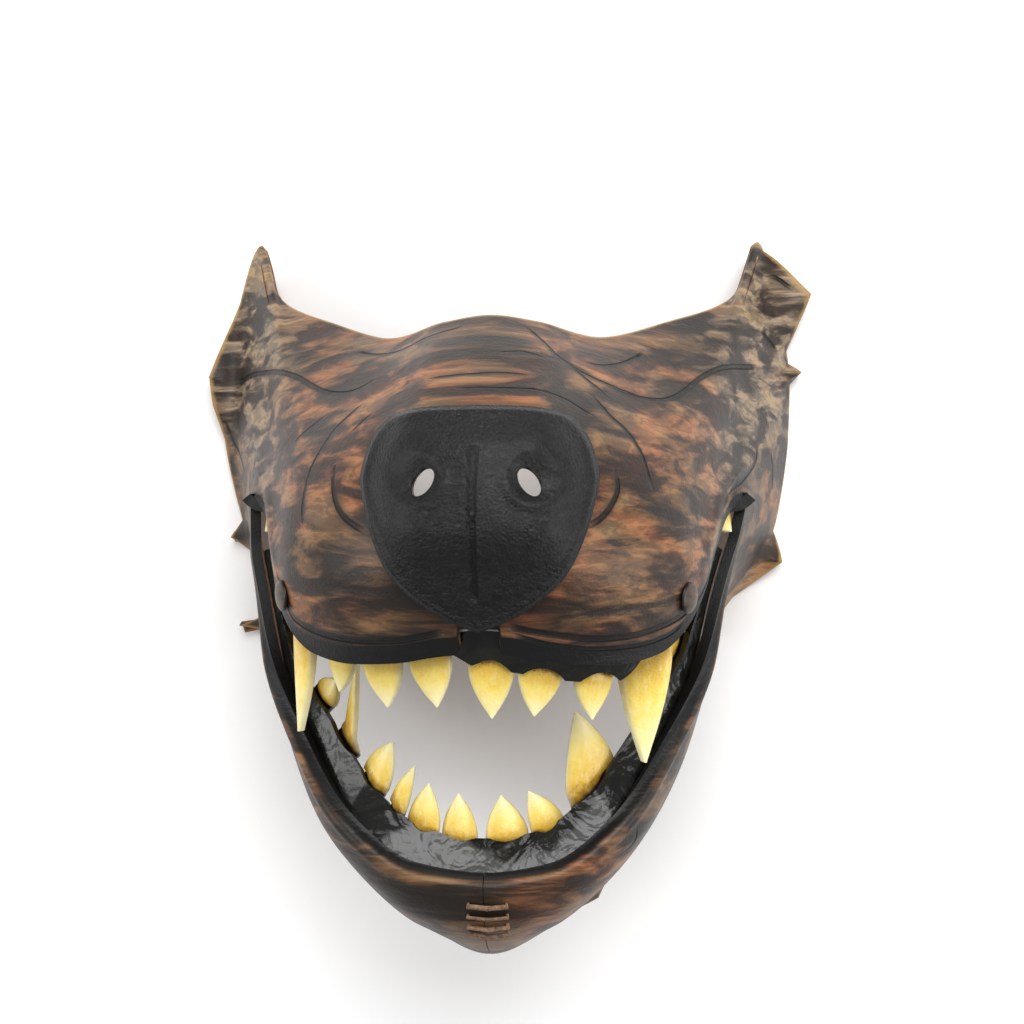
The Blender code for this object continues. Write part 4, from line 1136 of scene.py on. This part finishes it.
class WOLF_OT_nose(bpy.types.Operator):
    """Builds the pebbled nose pad with its nostrils"""

    bl_idname = "wolf_mask.nose"
    bl_label = "Nose pad"

    def execute(self, context):
        sizes = context.scene.wolf_sizes
        tree = plain_skin()
        half = np.array(NOSE_OUTLINE) * (NOSE_HALF_WIDTH, NOSE_HEIGHT)
        right = smooth_through(half, np.linspace(0, len(half) - 1, NOSE_POINTS // 2 + 1))
        outline = np.concatenate([right, right[-2:0:-1] * (-1, 1)])
        front, back, groove = [], [], []
        for part in np.linspace(0.03, 1, NOSE_RINGS):
            front_ring, back_ring = [], []
            for across, up in outline * part:
                point, slope = laid_on(tree, across, NOSE_CENTRE_UP + up)
                lift = LAYER_GAP + nose_height(across, up, part)
                front_ring.append(point + lift * slope)
                back_ring.append(point + NOSE_BACK_GAP * slope)
                down_middle = smooth_step((NOSE_HEIGHT * 0.34 - abs(up + 0.001)) / 0.002)
                beside = smooth_step(1.6 - abs(across + 0.0006) / sizes.nose_groove)
                groove.append(float(down_middle * beside))
            front.append(front_ring)
            back.append(back_ring)
        points, faces = rings_closed(front + back[::-1])
        marks = {"groove": np.concatenate([groove, np.zeros(len(points) - len(groove))])}
        nose = solid("pebbled_nose", points, faces, [nose_leather(context.scene.wolf_looks)], None, marks)
        cut(nose, nostril_pins(0))
        stands_for(nose, "nose")
        return {"FINISHED"}


class WOLF_OT_gums(bpy.types.Operator):
    """Builds the two glossy gum strips"""

    bl_idname = "wolf_mask.gums"
    bl_label = "Gums"

    def execute(self, context):
        finish = gum_leather(context.scene.wolf_looks)
        for jaw, ends in JAWS.items():
            front, back = [], []
            for share in np.linspace(-ends.gum_end, ends.gum_end, GUM_STEPS):
                place = mouth_place(jaw, share)
                reach = gum_reach(jaw, share)
                rows = np.linspace(-GUM_TUCK, reach, GUM_ROWS)
                front.append([layer_point(jaw, place, row, gum_depth(row)) for row in rows])
                back.append([layer_point(jaw, place, row, gum_depth(row) + GUM_LEATHER) for row in rows])
            points, faces, _ = sheet_between(np.array(front), np.array(back))
            gum = solid(f"glossy_{jaw}_gum", points, faces, [finish])
            stands_for(gum, f"{jaw}_gum")
        return {"FINISHED"}


def tooth_outline():
    """A crown's outline round its thickness, as (side, depth, share of the ridge): a ridged front
    with a rounded edge to the flat back."""
    outline = []
    for step in range(TOOTH_SIDES):
        turn = 2 * math.pi * (step + 0.5) / TOOTH_SIDES
        side = -math.cos(turn)
        wide = math.copysign(abs(side) ** 0.7, side)
        if math.sin(turn) > 0:
            deep = 0.5 - 0.5 * math.sin(turn) ** 0.8
            outline.append((wide, deep, max(0, 1 - abs(wide) * 1.1)))
        else:
            outline.append((wide, 0.5 + 0.5 * abs(math.sin(turn)) ** 0.4, 0))
    return outline


class WOLF_OT_teeth(bpy.types.Operator):
    """Builds the carved teeth"""

    bl_idname = "wolf_mask.teeth"
    bl_label = "Teeth"

    def execute(self, context):
        finish = tooth_paint(context.scene.wolf_looks)
        outline = tooth_outline()
        for tooth in TEETH:
            width, long = np.array(KIND_SIZES[tooth.kind]) * (tooth.width, tooth.length)
            ends = [tooth_base(tooth, tooth.at + step * BASE_STEP, 0, 0) for step in (-1, 1)]
            line = np.linalg.norm(ends[1] - ends[0]) / (2 * BASE_STEP)
            way, across = tooth_ways(tooth)
            rings, along, sides = [], [], []
            parts = np.concatenate([[-1, -0.5], np.linspace(0, 1, TOOTH_STEPS)])
            for part in parts:
                half = tooth_half_width(tooth.kind, part) * width
                aside = across * tooth.bend * width * max(0, part) ** 2
                thick = TOOTH_THICKNESS * (1 - TIP_THINS * max(0, part) ** 2)
                ridge = TOOTH_RIDGE * min(1, max(0, 4 * part)) * (1 - max(0, part))
                flat = smooth_step(part / TOOTH_NECK)
                ring = []
                for side, deep, proud in outline:
                    depth = deep * thick - proud * ridge
                    curved = tooth_base(tooth, tooth.at + side * half / line, depth, part)
                    straight = tooth_base(tooth, tooth.at, depth, part) + side * half * across
                    ring.append((1 - flat) * curved + flat * straight + aside + max(0, part) * long * way)
                    along.append(part)
                    sides.append(smooth_step((abs(side) - 0.80) / 0.2))
                rings.append(ring)
            points, faces = rings_closed(rings)
            marks = {"along": along + [-1, 1], "side": sides + [0, 0]}
            piece = solid(f"carved_{tooth.name}", points, faces, [finish], None, marks)
            stands_for(piece, tooth.name)
        return {"FINISHED"}


def new_tree(name, sockets):
    """A Geometry Nodes tree with named inputs, and its group input and output."""
    tree = bpy.data.node_groups.new(name, "GeometryNodeTree")
    tree.interface.new_socket("Geometry", in_out="INPUT", socket_type="NodeSocketGeometry")
    tree.interface.new_socket("Geometry", in_out="OUTPUT", socket_type="NodeSocketGeometry")
    for socket, kind in sockets:
        tree.interface.new_socket(socket, in_out="INPUT", socket_type=kind)
    return tree, tree.nodes.new("NodeGroupInput"), tree.nodes.new("NodeGroupOutput")


def finish_tree(tree, shape, source, output):
    """Ends a tree in Realize Instances and Set Material."""
    realise = tree.nodes.new("GeometryNodeRealizeInstances")
    paint = tree.nodes.new("GeometryNodeSetMaterial")
    tree.links.new(shape, realise.inputs["Geometry"])
    tree.links.new(realise.outputs["Geometry"], paint.inputs["Geometry"])
    tree.links.new(source.outputs["Material"], paint.inputs["Material"])
    tree.links.new(paint.outputs["Geometry"], output.inputs[0])


def thong_tree():
    """A flat thong along a path."""
    tree, source, output = new_tree("thong_along_path", (
        ("Width", "NodeSocketFloat"), ("Thickness", "NodeSocketFloat"), ("Material", "NodeSocketMaterial"),
    ))
    profile = tree.nodes.new("GeometryNodeCurvePrimitiveCircle")
    profile.inputs["Resolution"].default_value = 12
    profile.inputs["Radius"].default_value = 0.5
    size = tree.nodes.new("ShaderNodeCombineXYZ")
    flatten = tree.nodes.new("GeometryNodeTransform")
    sweep = tree.nodes.new("GeometryNodeCurveToMesh")
    sweep.inputs["Fill Caps"].default_value = True
    smooth = tree.nodes.new("GeometryNodeSetShadeSmooth")
    links = (
        (source.outputs["Thickness"], size.inputs["X"]),
        (source.outputs["Width"], size.inputs["Y"]),
        (source.outputs["Width"], size.inputs["Z"]),
        (profile.outputs["Curve"], flatten.inputs["Geometry"]),
        (size.outputs["Vector"], flatten.inputs["Scale"]),
        (source.outputs["Geometry"], sweep.inputs["Curve"]),
        (flatten.outputs["Geometry"], sweep.inputs["Profile Curve"]),
        (sweep.outputs["Mesh"], smooth.inputs["Geometry"]),
    )
    for start, end in links:
        tree.links.new(start, end)
    finish_tree(tree, smooth.outputs["Geometry"], source, output)
    return tree


def rivet_tree():
    """A flat domed head at each point, turned to the point's own out direction."""
    tree, source, output = new_tree("rivet_heads", (
        ("Diameter", "NodeSocketFloat"), ("Height", "NodeSocketFloat"), ("Material", "NodeSocketMaterial"),
    ))
    ball = tree.nodes.new("GeometryNodeMeshUVSphere")
    ball.inputs["Segments"].default_value = RIVET_SEGMENTS
    ball.inputs["Rings"].default_value = RIVET_RINGS
    ball.inputs["Radius"].default_value = 0.5
    size = tree.nodes.new("ShaderNodeCombineXYZ")
    turn = tree.nodes.new("FunctionNodeAlignRotationToVector")
    turn.axis = "Z"
    out = tree.nodes.new("GeometryNodeInputNamedAttribute")
    out.data_type = "FLOAT_VECTOR"
    out.inputs["Name"].default_value = "out"
    heads = tree.nodes.new("GeometryNodeInstanceOnPoints")
    doubled = tree.nodes.new("ShaderNodeMath")
    doubled.operation = "MULTIPLY"
    doubled.inputs[1].default_value = 2.0
    smooth = tree.nodes.new("GeometryNodeSetShadeSmooth")
    links = (
        (source.outputs["Diameter"], size.inputs["X"]),
        (source.outputs["Diameter"], size.inputs["Y"]),
        (source.outputs["Height"], doubled.inputs[0]),
        (doubled.outputs["Value"], size.inputs["Z"]),
        (source.outputs["Geometry"], heads.inputs["Points"]),
        (ball.outputs["Mesh"], heads.inputs["Instance"]),
        (out.outputs["Attribute"], turn.inputs["Vector"]),
        (turn.outputs["Rotation"], heads.inputs["Rotation"]),
        (size.outputs["Vector"], heads.inputs["Scale"]),
        (heads.outputs["Instances"], smooth.inputs["Geometry"]),
    )
    for start, end in links:
        tree.links.new(start, end)
    finish_tree(tree, smooth.outputs["Geometry"], source, output)
    return tree


def grown(obj, tree, values):
    """Runs a tree on an object with its named inputs set, and keeps the result as a plain mesh."""
    modifier = obj.modifiers.new("nodes", "NODES")
    modifier.node_group = tree
    sockets = {item.name: item.identifier for item in tree.interface.items_tree if item.in_out == "INPUT"}
    for name, value in values.items():
        modifier[sockets[name]] = value
    bpy.context.view_layer.update()
    graph = bpy.context.evaluated_depsgraph_get()
    mesh = bpy.data.meshes.new_from_object(obj.evaluated_get(graph))
    bpy.data.objects.remove(obj)
    return mesh


def lace_path():
    """The thong's middle line: over the seam, through the leather, where no slit is cut, and behind to the
    next row.
    """
    above = FIT_GAP + LACE_THICKNESS / 2
    below = -(LEATHER + FIT_GAP + LACE_THICKNESS / 2)
    path = []
    for row in range(LACE_ROWS):
        for side in (-1, 1):
            here, out, _ = lace_frame(side, row)
            levels = (below, above) if side == -1 else (above, below)
            path += [here + out * level for level in levels]
            if side == -1:
                crown = on_section(0, [LACE_FIRST + row * LACE_PITCH])[0]
                path.append(crown + out * (0, 1, 1) * (above + FIT_GAP))
    return path


class WOLF_OT_lace(bpy.types.Operator):
    """Builds the thong that laces the chin"""

    bl_idname = "wolf_mask.lace"
    bl_label = "Chin lace"

    def execute(self, context):
        sizes = context.scene.wolf_sizes
        finish = thong_leather(context.scene.wolf_looks)
        path = np.array(lace_path()) + INTO_FRAME
        curve = bpy.data.curves.new("lace_path", "CURVE")
        curve.dimensions = "3D"
        spline = curve.splines.new("POLY")
        spline.points.add(len(path) - 1)
        for point, place in zip(spline.points, path):
            point.co = (*place, 1)
        guide = bpy.data.objects.new("lace_path", curve)
        context.collection.objects.link(guide)
        mesh = grown(guide, thong_tree(), {
            "Width": 0.8 * sizes.thong_width, "Thickness": sizes.thong_thickness, "Material": finish,
        })
        mesh.materials.clear()
        mesh.materials.append(finish)
        lace = bpy.data.objects.new("laced_thong", mesh)
        context.collection.objects.link(lace)
        stands_for(lace, "chin_lace")
        return {"FINISHED"}


class WOLF_OT_rivets(bpy.types.Operator):
    """Builds the painted rivet heads"""

    bl_idname = "wolf_mask.rivets"
    bl_label = "Rivets"

    def execute(self, context):
        sizes = context.scene.wolf_sizes
        finish = rivet_paint(context.scene.wolf_looks)
        tree = rivet_tree()
        for rivet in RIVETS:
            place = mouth_place("upper", rivet.at)
            middle, out, _ = skin_frame("upper", place, rivet.above, RIVET_DIAMETER)
            hit = plain_skin().ray_cast(Vector(middle + RIVET_DIAMETER * out), Vector(-out))[0]
            points = bpy.data.meshes.new("rivet_place")
            centre = np.array(hit) + RIVET_LIFT * out + INTO_FRAME
            points.from_pydata([tuple(centre)], [], [])
            points.attributes.new("out", "FLOAT_VECTOR", "POINT").data[0].vector = out
            guide = bpy.data.objects.new("rivet_place", points)
            context.collection.objects.link(guide)
            mesh = grown(guide, tree, {
                "Diameter": sizes.rivet_diameter, "Height": sizes.rivet_height, "Material": finish,
            })
            mesh.materials.clear()
            mesh.materials.append(finish)
            # Painted shadow: a ring mark along the head's edge, painted black where the head meets the
            # leather.
            away = [float(np.linalg.norm(np.array(vertex.co) - centre)) for vertex in mesh.vertices]
            ring = smooth_step((np.array(away) / (sizes.rivet_diameter / 2) - 0.90) / 0.06)
            mesh.attributes.new("ring", "FLOAT", "POINT").data.foreach_set("value", ring.astype(np.float32))
            head = bpy.data.objects.new(f"painted_{rivet.name}", mesh)
            context.collection.objects.link(head)
            stands_for(head, rivet.name)
        return {"FINISHED"}


def area_light(name, place, aim, size, power):
    light = bpy.data.lights.new(name, "AREA")
    light.shape = "SQUARE"
    light.size = size
    light.energy = power
    lamp = bpy.data.objects.new(name, light)
    lamp.location = place
    lamp.rotation_euler = (Vector(place) - Vector(aim)).to_track_quat("Z", "Y").to_euler()
    bpy.context.collection.objects.link(lamp)


class WOLF_OT_stage(bpy.types.Operator):
    """Builds the floor, the light and the camera"""

    bl_idname = "wolf_mask.stage"
    bl_label = "Stage"

    def execute(self, context):
        stage = context.scene.wolf_stage
        half = stage.floor_size / 2
        mesh = bpy.data.meshes.new("floor")
        corners = [(-half, -half, 0), (half, -half, 0), (half, half, 0), (-half, half, 0)]
        mesh.from_pydata(corners, [], [(0, 1, 2, 3)])
        paint = Paint("pale_floor", 0.9, specular=0.1)
        paint.shader.inputs["Base Color"].default_value = (0.93, 0.93, 0.93, 1)
        mesh.materials.append(paint.material)
        floor = bpy.data.objects.new("floor", mesh)
        context.collection.objects.link(floor)
        area_light("large_soft_light", (0.15, 0.55, 0.9), (0, 0, 0.08), 0.7, stage.key)
        area_light("side_soft_light", (-0.75, 0.05, 0.55), (0, 0, 0.08), 0.5, stage.fill)
        area_light("other_side_light", (0.8, -0.1, 0.45), (0, 0, 0.08), 0.5, stage.fill)
        world = bpy.data.worlds.new("even_light")
        world.use_nodes = True
        world.node_tree.nodes["Background"].inputs["Color"].default_value = (1, 1, 1, 1)
        world.node_tree.nodes["Background"].inputs["Strength"].default_value = stage.sky
        context.scene.world = world
        context.scene.view_settings.view_transform = "Standard"
        context.scene.view_settings.exposure = stage.exposure
        context.scene.view_settings.gamma = stage.gamma
        place, _, _, _ = camera_axes()
        lens = bpy.data.cameras.new("camera")
        lens.sensor_width = SENSOR
        lens.lens = FOCAL_PIXELS * SENSOR / FRAME_SIZE
        camera = bpy.data.objects.new("camera", lens)
        camera.location = place
        camera.rotation_euler = (0, CAMERA_YAW, 0)
        context.collection.objects.link(camera)
        context.scene.camera = camera
        return {"FINISHED"}


PIECES = (
    WOLF_OT_shell, WOLF_OT_nose, WOLF_OT_gums, WOLF_OT_teeth, WOLF_OT_lace, WOLF_OT_rivets,
    WOLF_OT_stage,
)


class WOLF_PT_pieces(bpy.types.Panel):
    """Lists the mask's pieces"""

    bl_label = "Wolf mask"
    bl_idname = "WOLF_PT_pieces"
    bl_space_type = "VIEW_3D"
    bl_region_type = "UI"
    bl_category = "Wolf mask"

    def draw(self, context):
        for piece in PIECES:
            self.layout.operator(piece.bl_idname)


GROUPS = {"wolf_looks": WolfMaskLooks, "wolf_sizes": WolfMaskSizes, "wolf_stage": WolfMaskStage}


def register():
    for made in (*GROUPS.values(), *PIECES, WOLF_PT_pieces):
        bpy.utils.register_class(made)
    for name, group in GROUPS.items():
        setattr(bpy.types.Scene, name, bpy.props.PointerProperty(type=group))


def unregister():
    for name in GROUPS:
        delattr(bpy.types.Scene, name)
    for made in (WOLF_PT_pieces, *PIECES, *GROUPS.values()):
        bpy.utils.unregister_class(made)


def main():
    register()
    for piece in ("shell", "nose", "gums", "teeth", "lace", "rivets", "stage"):
        getattr(bpy.ops.wolf_mask, piece)()


if __name__ == "__main__":
    main()
